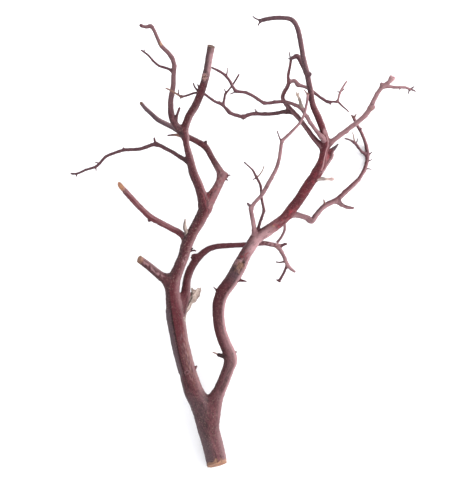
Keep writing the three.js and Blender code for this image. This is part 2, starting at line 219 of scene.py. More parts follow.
limbs = {}
add_limb("stem", tip="sawn", nodes=["butt", "left_leader", "left_upper_leader", "tall_cut_limb"])
add_limb("right_leader", "stem", foot_girth=0.25, slide=3.5,
         nodes=["right_leader_lower", "right_leader_upper", "tall_hooked_limb"])
add_limb("lower_left_stub", "stem", "sawn")
add_limb("left_cut_limb", "stem", "sawn")
add_limb("pointed_dead_twig", "left_cut_limb")
add_limb("dead_slab_stub", "stem", "broken")
add_limb("elbow_limb", "stem", "broken", slide=4.5)
add_limb("long_left_twig", "stem")
add_limb("tan_thorn_twig", "stem")
add_limb("crooked_top_limb", "stem")
add_limb("crook_side_twig", "crooked_top_limb")
add_limb("fork_twiglet", "crooked_top_limb")
add_limb("under_limb", "stem", "broken")
add_limb("under_limb_fork", "under_limb")
add_limb("under_t_twig", "under_limb_fork", "broken")
add_limb("long_front_twig", "right_leader")
add_limb("fan_twig", "right_leader")
add_limb("hanging_twig", "right_leader", "broken")
add_limb("arching_right_limb", "right_leader")
add_limb("arch_side_twig", "arching_right_limb", "broken")
add_limb("arch_fan_twig", "arching_right_limb")
add_limb("pale_stub", "right_leader", "broken", 1.0)
add_limb("broken_prong", "right_leader", "grown", 0.95)
add_limb("crown_left_limb", "right_leader")
add_limb("dark_hooked_twig", "right_leader")
add_limb("crown_loop_twig", "crown_left_limb")
add_limb("low_crossing_limb", "crown_left_limb")
add_limb("crossing_side_twig", "low_crossing_limb")
add_limb("crown_front_limb", "right_leader")
add_limb("crown_dead_twig", "crown_front_limb")
add_limb("crown_right_limb", "right_leader", "broken")
add_limb("crown_right_tip_twig", "crown_right_limb")

FILLET = 0.9  # of the hollow at a fork, in radii of the younger limb
FILLET_LEAST = 1.0 * MM
SPROUT_STEP = 0.4 * MM  # between two points of a sprout's pith


def join(first, second, fillet):
    """Two limbs whose bark runs from one to the other over a round hollow of this size."""
    first.mates.append((second, fillet))
    second.mates.append((first, fillet))


for limb in limbs.values():
    if limb.parent:
        join(limb, limb.parent, FILLET * limb.girth.max() + FILLET_LEAST)
for limb in limbs.values():
    for other in limbs.values():
        if other is limb:
            break
        apart = np.linalg.norm(limb.line[0] - other.line[0])
        near = apart < 2.2 * (limb.girth.max() + other.girth.max())
        if limb.parent and limb.parent is other.parent and near:
            join(limb, other, 0.3 * min(limb.girth.max(), other.girth.max()) + FILLET_LEAST)
join(limbs["pointed_dead_twig"], limbs["stem"], 3 * MM)


def add_sprout(host, at, thick, *route, tip=0.55, **tints):
    """A thorn, spur or twiglet: a small limb from the pith of its host at this share of its length.

    The route is in millimetres from that pith. The sprout is thick at its foot, and thins to tip times
    that. Its tints are the strengths of the marks that colour all its bark.
    """
    host = limbs[host]
    pith = host.line[min(np.searchsorted(host.down, at * host.down[-1]), len(host.line) - 1)]
    route = np.array(route, float) * MM
    points = pith + np.vstack([0.35 * route[0], route])
    radii = np.linspace(thick, tip * thick, len(points)) * MM / 2
    line, girth, down = smooth_line(points, radii, SPROUT_STEP)
    name = f"{host.name}_sprout_{len(host.sprouts)}"
    sprout = SimpleNamespace(
        name=name, parent=host, tip="grown", line=line, girth=girth, down=down, clear=gap_to(host, line),
        coarse=line[::3], coarse_girth=girth[::3], mates=[], tints=tints,
    )
    host.sprouts.append(sprout)
    join(sprout, host, 0.4 * thick * MM + 0.3 * MM)

# ------------------------------------------------------------------------------------------- the stem
# The oldest wood: a butt sawn off at a slant, 34 mm thick, which runs on into the left leader and the tall
# limb with a sawn top. Its thin bark is hard and satin-smooth, mahogany red, and streaked along the grain.
# A strip of it has died back to grey along the left side of the leader, beside a deep groove.

STEM_SIDES = 96  # of the stem's bark round its pith, and of the right leader's
SPROUT_SIDES = 20  # of a sprout's
FAIRING_STEPS = 7  # rounds in which bark rises towards the bark it runs on into
LUMP_LENGTH = 36 * MM  # from one broad lump to the next
FLUTE_WIDTH, FLUTE_LENGTH = 12 * MM, 100 * MM  # of the shallow hollows along a limb
STREAK_WIDTH, STREAK_LENGTH = 3 * MM, 24 * MM  # of the fine ridges along the grain
MOST_BUDS = 60  # on a twig
BUD_GAPS = (9, 20)  # millimetres from one bud to the next, at least and at most
BUDDING_GIRTH = 5 * MM  # above which a limb has lost its buds
YOUNG_THICK, OLD_THICK = 4 * MM, 15 * MM  # of a limb with young bark, and of one with old bark
REST_GAP = 0.05 * MM  # that the wood keeps from the surface it lies on
CAP_RINGS = 8  # of faces between a cut's rim and its middle
UP = np.array([0.0, 0.0, 1.0])
PAINTED_LIGHT_SIDE = np.array([0.93, 0.3, 0.2])  # the way towards the lamp: bark facing it is painted paler as a highlight, and bark facing away painted darker as shade
MARKS = ("age", "specks", "red", "grey", "tan", "pale", "rose", "dark", "fork")


def ripples(places, wavelength, seed, waves=20):
    """Smooth noise of about -1 to 1: the sum of sine waves in random directions, scaled by their number."""
    draw = np.random.default_rng(seed)
    direction = draw.normal(size=(waves, 3))
    direction /= np.linalg.norm(direction, axis=1)[:, None]
    pitch = direction * 2 * np.pi * draw.uniform(0.7, 1.5, (waves, 1)) / np.asarray(wavelength)
    return np.sin(places @ pitch.T + draw.uniform(0, 2 * np.pi, waves)).sum(1) / np.sqrt(waves)


def smooth_least(first, second, fillet):
    """The lesser of two distances, rounded off where they come within a fillet of each other: less a
    quarter of the fillet times the square of how much of it they overlap.
    """
    share = np.clip(fillet - np.abs(first - second), 0, None) / fillet
    return np.minimum(first, second) - share**2 * fillet / 4


def fairing(limb, places, outward):
    """How far the bark at each place rises so that it runs on into the limb's mates, and how near they are.

    A place rises along its outward way until the rounded lesser of its height and its gap to the mate is
    nothing. Where the mate's own bark is the nearer one there, it stays a little below it.
    """
    rise, fork = np.zeros(len(places)), np.zeros(len(places))
    for mate, fillet in limb.mates:
        reach = fillet + mate.coarse_girth.max()
        low, high = mate.coarse.min(0) - reach, mate.coarse.max(0) + reach
        near = np.flatnonzero(((places > low) & (places < high)).all(1))
        near = near[gap_to(mate, places[near]) < fillet]
        height = np.zeros(len(near))
        for _ in range(FAIRING_STEPS):
            gap = gap_to(mate, places[near] + outward[near] * height[:, None])
            height = np.clip(height - smooth_least(height, gap, fillet), 0, fillet)
        gap = gap_to(mate, places[near] + outward[near] * height[:, None])
        fork[near] = np.maximum(fork[near], 1 - np.clip(gap / fillet, 0, 1))
        height -= np.minimum(0.2 * np.clip(height - gap, 0, None), 0.3 * MM)
        rise[near] = np.maximum(rise[near], height)
    return rise, fork


def carried_frame(line):
    """The way along a line, and two ways square to it that are carried along without twisting.

    The first of the two starts upwards, and each next one is the last one less its part along the new way.
    """
    along = np.gradient(line, axis=0)
    along /= np.linalg.norm(along, axis=1)[:, None]
    side = np.empty_like(along)
    last = UP
    for index, way in enumerate(along):
        last = last - (last @ way) * way
        last /= np.linalg.norm(last)
        side[index] = last
    return along, side, np.cross(along, side)


def full_girth(limb, along, buds):
    """The girth with its swellings, at bends, which are old nodes of growth, and closed to a dome at a tip.

    A bend's swelling goes with the line's turn for its thickness. A dome is a quarter of an ellipse.
    """
    girth, down = limb.girth.copy(), limb.down
    step = down[1]
    turn = np.linalg.norm(np.gradient(along, axis=0), axis=1) / step
    reach = max(2, int(1.5 * girth.mean() / step))
    window = np.hanning(2 * reach + 1)
    turn = np.convolve(np.pad(turn, reach, mode="edge"), window / window.sum(), mode="valid")
    knuckle = 0.05 + buds * (1 - smoothstep(1.5 * MM, 5 * MM, girth))
    girth *= 1 + knuckle * smoothstep(0.05, 0.3, turn * girth)
    if limb.tip == "grown":
        from_tip = np.clip((down[-1] - down) / (1.5 * girth[-1]), 0, 1)
        girth *= np.sqrt(np.clip(1 - (1 - from_tip) ** 2, 0.02, 1))
    return girth


def bark_surface(limb, sides, marks=None, buds=0):
    """The bark of a limb, on a grid of rows along its pith by sides round it.

    A place is the pith's point plus the girth along its outward way. It is swelled by lumps, by flutes and
    streaks that run along the grain, and by buds, and raised at the forks. The marks then carve and colour
    it. Last, the rows near a saw cut lean until the end row lies in the cut.
    """
    seed = sum(map(ord, limb.name))
    along, side, beside = carried_frame(limb.line)
    girth = full_girth(limb, along, buds)
    rows = len(limb.line)
    angle = np.linspace(0, 2 * np.pi, sides, endpoint=False)
    round_way = side[:, None] * np.cos(angle)[:, None] + beside[:, None] * np.sin(angle)[:, None]
    outward = round_way.reshape(-1, 3)
    core = np.repeat(limb.line, sides, axis=0)
    thick = np.repeat(girth, sides)
    down = np.repeat(limb.down, sides)
    turn = np.tile(angle, rows)
    grain = np.stack([thick * np.cos(turn), thick * np.sin(turn), down + seed % 97 * 0.1], 1)
    places = core + outward * thick[:, None]

    # A bud is a small bump on the side of a young twig.
    if buds:
        draw = np.random.default_rng(seed)
        for at in np.cumsum(draw.uniform(*BUD_GAPS, MOST_BUDS) * MM):
            way = draw.uniform(0, 2 * np.pi)
            row = min(np.searchsorted(limb.down, at), rows - 1)
            size = max(0.9 * girth[row], 0.9 * MM)
            centre = limb.line[row] + girth[row] * (side[row] * np.cos(way) + beside[row] * np.sin(way))
            away = np.linalg.norm(places - centre, axis=1)
            if at < limb.down[-1] and girth[row] < BUDDING_GIRTH:
                bump = min(1, 2 * buds) * 0.45 * size * np.exp(-((away / size) ** 2))
                places += outward * bump[:, None]

    rise, fork = fairing(limb, places, outward)
    lumps = ripples(places, LUMP_LENGTH, 11) * np.minimum(0.022 * thick, 0.4 * MM)
    lumps += ripples(places, 9 * MM, 12) * 0.03 * np.minimum(thick, 4 * MM)
    flutes = ripples(grain, (FLUTE_WIDTH, FLUTE_WIDTH, FLUTE_LENGTH), seed) * 0.03 * thick
    streaks = ripples(grain, (STREAK_WIDTH, STREAK_WIDTH, STREAK_LENGTH), seed + 1)
    streaks *= np.minimum(0.012 * thick, 0.1 * MM)
    rough = lumps + (flutes + streaks) * (1 - fork)
    places = places + outward * (rise + rough)[:, None]

    right = np.cross(along, UP)
    right /= np.linalg.norm(right, axis=1)[:, None] + 1e-9
    top = np.cross(right, along)
    age = smoothstep(YOUNG_THICK, OLD_THICK, 2 * limb.girth)
    if limb.parent:
        foot_row = np.linalg.norm(limb.parent.line - limb.line[0], axis=1).argmin()
        foot_age = smoothstep(YOUNG_THICK, OLD_THICK, 2 * limb.parent.girth[foot_row])
        blend = smoothstep(0.0, 4.0, np.maximum.accumulate(limb.clear) / limb.girth.max())
        age = foot_age + (age - foot_age) * blend
    bark = SimpleNamespace(
        limb=limb, places=places, outward=outward, thick=thick, share=down / limb.down[-1], grain=grain,
        along=np.repeat(along, sides, axis=0), sides=sides,
        across=(outward * np.repeat(right, sides, axis=0)).sum(1),
        top=(outward * np.repeat(top, sides, axis=0)).sum(1),
        data={mark: np.zeros(len(places)) for mark in MARKS},
    )
    bark.data["age"] = np.repeat(age, sides)
    bark.data["fork"] = fork
    bark.data["specks"] += 0.4
    # Painted light on every limb: a painted highlight on the side towards the lamp, and painted shade on the
    # side turned away.
    bark.data["pale"] = 0.5 * smoothstep(0.65, 1.0, outward @ PAINTED_LIGHT_SIDE) * (1 - 0.8 * fork)
    bark.data["dark"] = 0.35 * smoothstep(0.1, -0.9, outward @ PAINTED_LIGHT_SIDE)
    for mark, strength in limb.tints.items():
        bark.data[mark][:] = strength
    if marks:
        marks(bark)

    cut_foot = limb.name == "stem"
    for is_cut, row, plane in (
        (cut_foot, 0, limb.foot_plane if cut_foot else None),
        (limb.tip == "sawn", -1, limb.tip_plane if limb.tip == "sawn" else None),
    ):
        if is_cut:
            away = bark.places - core
            lean = -(away @ plane) / (along[row] @ plane)
            from_cut = np.abs(down - limb.down[row])
            fade = 1 - smoothstep(0, 3 * girth[row], from_cut)
            fade = np.where(from_cut == 0, 1, fade)
            bark.places += along[row] * (lean * fade)[:, None]
    bark.places[:, 2] = np.maximum(bark.places[:, 2], REST_GAP)
    if limb.tip == "broken":
        ragged = ripples(grain * (1, 1, 0), 2.2 * girth[-1], seed + 3)
        near_end = smoothstep(limb.down[-1] - 2.5 * girth[-1], limb.down[-1], down)
        bark.places += bark.along * (0.7 * thick * ragged * near_end)[:, None]

    grid = bark.places.reshape(rows, sides, 3)
    data = {mark: values.reshape(rows, sides) for mark, values in bark.data.items()}
    data["grain"] = grain.reshape(rows, sides, 3)
    return closed(grid, data, (cut_foot, limb.tip != "grown"), limb.tip == "broken", seed)


def closed(grid, data, cut, ragged, seed):
    """The grid with both ends closed: a cut's face by rings that shrink to its middle, any other by a fan.

    The quads are the grid's own, each row with the next, and then those between the rings of a face. A
    ragged face is pushed in and out along the limb by noise.
    """
    rows, sides = grid.shape[:2]
    index = np.arange(rows * sides).reshape(rows, sides)
    near, far = index[:-1], index[1:]
    quads = [np.stack([near, np.roll(near, -1, 1), np.roll(far, -1, 1), far], -1).reshape(-1, 4)]
    cuts = [np.zeros(len(quads[0]), int)]
    vertices, triangles, fan_cuts = [grid.reshape(-1, 3)], [], []
    layers = {mark: [values.reshape(rows * sides, -1)] for mark, values in data.items()}
    count = rows * sides
    for end, is_cut in ((0, cut[0]), (-1, cut[1])):
        edges = {mark: values[end].reshape(sides, -1) for mark, values in data.items()}
        centres = {mark: edge.mean(0) for mark, edge in edges.items()}
        centres["grain"] = np.array([0, 0, edges["grain"][:, 2].mean()])
        rim, last, turn = grid[end], index[end], -1 if end == 0 else 1
        middle = rim.mean(0)
        way = grid[end].mean(0) - grid[end + (1 if end == 0 else -1)].mean(0)
        way /= np.linalg.norm(way)
        shares = np.linspace(1, 0, CAP_RINGS + 1)[1:-1] if is_cut else []
        for share in shares:
            ring = middle + (rim - middle) * share
            if ragged and end:
                size = np.linalg.norm(rim - middle, axis=1).mean()
                ring += np.outer(ripples(ring, 1.3 * size, seed + 5) * 0.5 * size * (1 - share**3), way)
            vertices.append(ring)
            this = np.arange(sides) + count
            count += sides
            strip = np.stack([last, np.roll(last, -1), np.roll(this, -1), this], -1)[:, ::turn]
            quads.append(strip)
            cuts.append(np.ones(sides, int))
            for mark, centre in centres.items():
                layers[mark].append(centre + (edges[mark] - centre) * share)
            last = this
        vertices.append(middle[None])
        fan = np.stack([last, np.roll(last, -1), np.full(sides, count)], -1)[:, ::turn]
        triangles.append(fan)
        fan_cuts.append(np.full(sides, int(is_cut)))
        count += 1
        for mark, centre in centres.items():
            layers[mark].append(centre[None])
    return SimpleNamespace(
        vertices=np.vstack(vertices), quads=np.vstack(quads), triangles=np.vstack(triangles),
        cuts=np.concatenate(cuts), fan_cuts=np.concatenate(fan_cuts),
        layers={mark: np.vstack(values) for mark, values in layers.items()},
    )


def make_piece(name, surfaces, bark, cut_face, replaced=()):
    """One mesh of one or more closed surfaces, which rides on the root and stands for its nodes."""
    offsets = np.cumsum([0] + [len(surface.vertices) for surface in surfaces])
    vertices = np.vstack([surface.vertices for surface in surfaces])
    quads = np.vstack([surface.quads + start for surface, start in zip(surfaces, offsets)])
    triangles = np.vstack([surface.triangles + start for surface, start in zip(surfaces, offsets)])
    is_cut = np.concatenate([surface.cuts for surface in surfaces] + [s.fan_cuts for s in surfaces])
    starts = np.concatenate([np.arange(len(quads)) * 4, quads.size + np.arange(len(triangles)) * 3])
    mesh = bpy.data.meshes.new(name)
    mesh.vertices.add(len(vertices))
    mesh.vertices.foreach_set("co", vertices.ravel())
    mesh.loops.add(quads.size + triangles.size)
    mesh.loops.foreach_set("vertex_index", np.concatenate([quads.ravel(), triangles.ravel()]))
    mesh.polygons.add(len(starts))
    mesh.polygons.foreach_set("loop_start", starts)
    mesh.update(calc_edges=True)
    mesh.polygons.foreach_set("use_smooth", is_cut == 0)
    mesh.polygons.foreach_set("material_index", is_cut)
    mesh.materials.append(bark)
    mesh.materials.append(cut_face)
    for mark in surfaces[0].layers:
        values = np.vstack([surface.layers[mark] for surface in surfaces])
        vector = values.shape[1] == 3
        layer = mesh.attributes.new(mark, "FLOAT_VECTOR" if vector else "FLOAT", "POINT")
        layer.data.foreach_set("vector" if vector else "value", values.ravel())
    mesh.validate()
    piece = bpy.data.objects.new(name, mesh)
    bpy.context.collection.objects.link(piece)
    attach(piece, "root")
    if replaced:
        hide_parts(*replaced)


def build(name, sides, bark, cut_face, marks, buds=0):
    """Makes a limb's piece, and one more of all its sprouts."""
    limb = limbs[name]
    make_piece(name, [bark_surface(limb, sides, marks, buds)], bark, cut_face, limb.nodes)
    if limb.sprouts:
        surfaces = [bark_surface(sprout, SPROUT_SIDES) for sprout in limb.sprouts]
        make_piece(f"{name}_sprouts", surfaces, bark, cut_face)


def paint(bark, **masks):
    """Colours the bark with each mark, where its mask is stronger than what is there."""
    for mark, mask in masks.items():
        bark.data[mark] = np.maximum(bark.data[mark], np.clip(mask, 0, 1))


def carve(bark, height):
    """Moves the bark outwards by a height in metres."""
    bark.places += bark.outward * height[:, None]


def stretch(bark, start, end, soft=0.02):
    """1 between two shares of a limb's length, with soft ends: a slope up times a slope down."""
    return smoothstep(start - soft, start + soft, bark.share) * smoothstep(end + soft, end - soft, bark.share)


def stripe(bark, middle, width):
    """1 on a line along the upper side of a limb, at this place across it, from -1 left to 1 right, and
    less beside it by a bell curve.
    """
    return np.exp(-(((bark.across - middle) / width) ** 2)) * smoothstep(-0.1, 0.2, bark.top)


def spot(bark, at, across, length, width):
    """How far each place is from the middle of an oval spot on the upper side: 1 on its rim, and the root
    of the summed squares of its shares of the spot's half length and half width elsewhere.
    """
    along = (bark.share - at) * bark.limb.down[-1] / (length / 2)
    beside = (bark.across - across) * bark.thick / (width / 2)
    return np.where(bark.top > -0.1, np.hypot(along, beside), 9.0)


def linear(colour):
    """A colour given as sRGB hex, turned to the linear values that a shader takes."""
    srgb = np.array([int(colour[start : start + 2], 16) for start in (1, 3, 5)]) / 255
    value = np.where(srgb <= 0.04045, srgb / 12.92, ((srgb + 0.055) / 1.055) ** 2.4)
    return (*value, 1.0)


def add(tree, kind, inputs=None, **settings):
    """Adds a node: settings are its own, and inputs are its sockets' values or (node, output) links."""
    made = tree.nodes.new(kind)
    for name, value in settings.items():
        setattr(made, name, value)
    for socket, value in (inputs or {}).items():
        if isinstance(value, tuple) and isinstance(value[0], bpy.types.Node):
            tree.links.new(value[0].outputs[value[1]], made.inputs[socket])
        else:
            made.inputs[socket].default_value = value
    return made


def new_material(name):
    """A material with its node tree and the node of its surface."""
    material = bpy.data.materials.new(name)
    material.use_nodes = True
    return material, material.node_tree, material.node_tree.nodes["Principled BSDF"]


def manzanita_bark(name, dark, middle, light, young, roughness=0.5, sheen=0.22):
    """Thin, hard, hairless bark. Broad streaks shift it from mahogany to rose, fine grain and tiny corky
    specks break it up, and young wood is paler and greyer. The eye sees satin wood with a dull gleam.
    """
    material, tree, surface = new_material(name)
    grain = add(tree, "ShaderNodeAttribute", attribute_name="grain")
    place = add(tree, "ShaderNodeTexCoord")
    mark = {name: add(tree, "ShaderNodeAttribute", attribute_name=name) for name in MARKS}
    long_grain = add(tree, "ShaderNodeMapping", {"Vector": (grain, "Vector"), "Scale": (1, 1, 0.1)})
    short_grain = add(tree, "ShaderNodeMapping", {"Vector": (grain, "Vector"), "Scale": (1, 1, 0.4)})
    broad = add(tree, "ShaderNodeTexNoise", {"Vector": (long_grain, 0), "Scale": 1 / (6 * MM),
                                             "Detail": 3.0})
    fine = add(tree, "ShaderNodeTexNoise", {"Vector": (short_grain, 0), "Scale": 1 / (2.2 * MM),
                                            "Detail": 4.0, "Roughness": 0.65})
    patches = add(tree, "ShaderNodeTexNoise", {"Vector": (place, "Object"), "Scale": 1 / (22 * MM),
                                               "Detail": 3.0})
    corky = add(tree, "ShaderNodeTexNoise", {"Vector": (place, "Object"), "Scale": 1 / (2.0 * MM),
                                             "Detail": 2.0})
    soft = {"interpolation_type": "SMOOTHSTEP"}
    broad = add(tree, "ShaderNodeMapRange", {0: (broad, 0), 1: 0.38, 2: 0.62}, **soft)
    fine_band = add(tree, "ShaderNodeMapRange", {0: (fine, 0), 1: 0.42, 2: 0.62}, **soft)
    patches = add(tree, "ShaderNodeMapRange", {0: (patches, 0), 1: 0.45, 2: 0.7}, **soft)
    corky = add(tree, "ShaderNodeMapRange", {0: (corky, 0), 1: 0.54, 2: 0.72}, **soft)
    grit = add(tree, "ShaderNodeMapRange", {0: (fine, 0), 1: 0.3, 2: 0.45, 3: 1.0, 4: 0.0}, **soft)

    colour = {"data_type": "RGBA"}
    old = add(tree, "ShaderNodeMix", {0: (broad, 0), 6: linear(dark), 7: linear(middle)}, **colour)
    base = add(tree, "ShaderNodeMix", {0: (mark["age"], "Fac"), 6: linear(young), 7: (old, 2)}, **colour)
    layers = (
        (fine_band, 0, light, 0.42), (patches, 0, "#492f35", 0.3), (mark["red"], "Fac", "#521721", 0.85),
        (mark["grey"], "Fac", "#53444a", 0.9), (mark["pale"], "Fac", "#ac8588", 0.85),
        (mark["tan"], "Fac", "#9b745d", 0.85), (mark["rose"], "Fac", "#98343e", 0.85),
        (mark["dark"], "Fac", "#170c0e", 0.8), (corky, 0, "#776258", (mark["specks"], "Fac")),
        (grit, 0, "#281316", 0.6),
    )
    for layer, output, tint, strength in layers:
        share = add(tree, "ShaderNodeMath", {0: (layer, output), 1: strength}, operation="MULTIPLY")
        base = add(tree, "ShaderNodeMix", {0: (share, 0), 6: (base, 2), 7: linear(tint)}, **colour)
    bump = add(tree, "ShaderNodeBump", {"Height": (fine, 0), "Strength": 0.6, "Distance": 0.4 * MM})
    dull = add(tree, "ShaderNodeMapRange", {0: (fine, 0), 1: 0.3, 2: 0.7, 3: roughness - 0.06,
                                            4: roughness + 0.12})
    tree.links.new(base.outputs[2], surface.inputs["Base Color"])
    tree.links.new(bump.outputs[0], surface.inputs["Normal"])
    tree.links.new(dull.outputs[0], surface.inputs["Roughness"])
    surface.inputs["IOR"].default_value = 1.45
    surface.inputs["Specular IOR Level"].default_value = sheen
    return material


GROWTH_RING = 1.5 * MM  # of wood that a year adds


def cut_wood(name, pale, deep, stain):
    """Wood laid bare by a saw or a break. The eye sees growth rings, fine cracks, and a dull face."""
    material, tree, surface = new_material(name)
    grain = add(tree, "ShaderNodeAttribute", attribute_name="grain")
    place = add(tree, "ShaderNodeTexCoord")
    flat = add(tree, "ShaderNodeMapping", {"Vector": (grain, "Vector"), "Scale": (1, 1, 0)})
    rings = add(tree, "ShaderNodeTexWave", {"Vector": (flat, 0), "Scale": np.pi / (10 * GROWTH_RING),
                                            "Distortion": 1.5, "Detail": 2.0},
                wave_type="RINGS", rings_direction="Z")
    blotch = add(tree, "ShaderNodeTexNoise", {"Vector": (place, "Object"), "Scale": 1 / (7 * MM),
                                              "Detail": 4.0})
    fibre = add(tree, "ShaderNodeTexNoise", {"Vector": (place, "Object"), "Scale": 1 / (1.2 * MM),
                                             "Detail": 3.0})
    colour = {"data_type": "RGBA"}
    base = add(tree, "ShaderNodeMix", {0: (rings, "Fac"), 6: linear(deep), 7: linear(pale)}, **colour)
    blotch = add(tree, "ShaderNodeMapRange", {0: (blotch, 0), 1: 0.42, 2: 0.66, 4: 0.8},
                 interpolation_type="SMOOTHSTEP")
    base = add(tree, "ShaderNodeMix", {0: (blotch, 0), 6: (base, 2), 7: linear(stain)}, **colour)
    old = add(tree, "ShaderNodeAttribute", attribute_name="dark")
    base = add(tree, "ShaderNodeMix", {0: (old, "Fac"), 6: (base, 2), 7: linear("#463432")}, **colour)
    bump = add(tree, "ShaderNodeBump", {"Height": (fibre, 0), "Strength": 0.7, "Distance": 0.5 * MM})
    tree.links.new(base.outputs[2], surface.inputs["Base Color"])
    tree.links.new(bump.outputs[0], surface.inputs["Normal"])
    surface.inputs["Roughness"].default_value = 0.8
    surface.inputs["Specular IOR Level"].default_value = 0.3
    return material


old_bark = manzanita_bark("old_manzanita_bark", "#281013", "#431e24", "#6c4045", "#4c2d35")
fresh_cut = cut_wood("sawn_manzanita_heartwood", "#bf8b65", "#a87455", "#8d5f51")

add_sprout("stem", 0.226, 7.5, (11, 3, 3), (16, 9, 4), tip=0.35, red=0.6)
add_sprout("stem", 0.509, 3.9, (8, -1, 2), (14, 0, 4), (18, -1, 5), dark=0.5)
add_sprout("stem", 0.509, 3.9, (8, 1, 3), (13, 4, 6), dark=0.6)
add_sprout("stem", 0.890, 3.9, (-4, 3, 1), (-9, 9, 3), (-12, 16, 4), dark=0.3)
add_sprout("stem", 0.891, 3.4, (-2, 4, 4), (-4, 9, 5), (-5, 13, 6), dark=0.3)


def match_at_crotch(bark):
    """Gives both leaders the same colours near the main crotch, by place alone, so that they meet unseen:
    their own colours fade out towards it as the common ones fade in.
    """
    leader = limbs["right_leader"]
    crotch = leader.line[np.searchsorted(leader.clear, 0.0) - 8]
    near = smoothstep(52 * MM, 26 * MM, np.linalg.norm(bark.places - crotch, axis=1))
    right = (bark.places[:, 0] - crotch[0]) / (18 * MM)
    veins = ripples(bark.places, (4 * MM, 24 * MM, 6 * MM), 31)
    common = {
        # The paler right side and the darker left side are painted highlight and painted shade; the veins,
        # grey, red and specks are the bark's own.
        "pale": 0.06 + 0.4 * smoothstep(0.1, 0.9, right), "grey": 0.35 * smoothstep(-0.2, -1.2, right),
        "dark": 0.35 * smoothstep(0.0, 1.4, veins) + 0.3 * smoothstep(0.0, -0.8, right), "specks": 0.6,
        "red": 0.3 * smoothstep(-0.8, 0, right), "tan": 0, "rose": 0, "age": 1,
    }
    for mark, value in common.items():
        bark.data[mark] = bark.data[mark] * (1 - near) + value * near


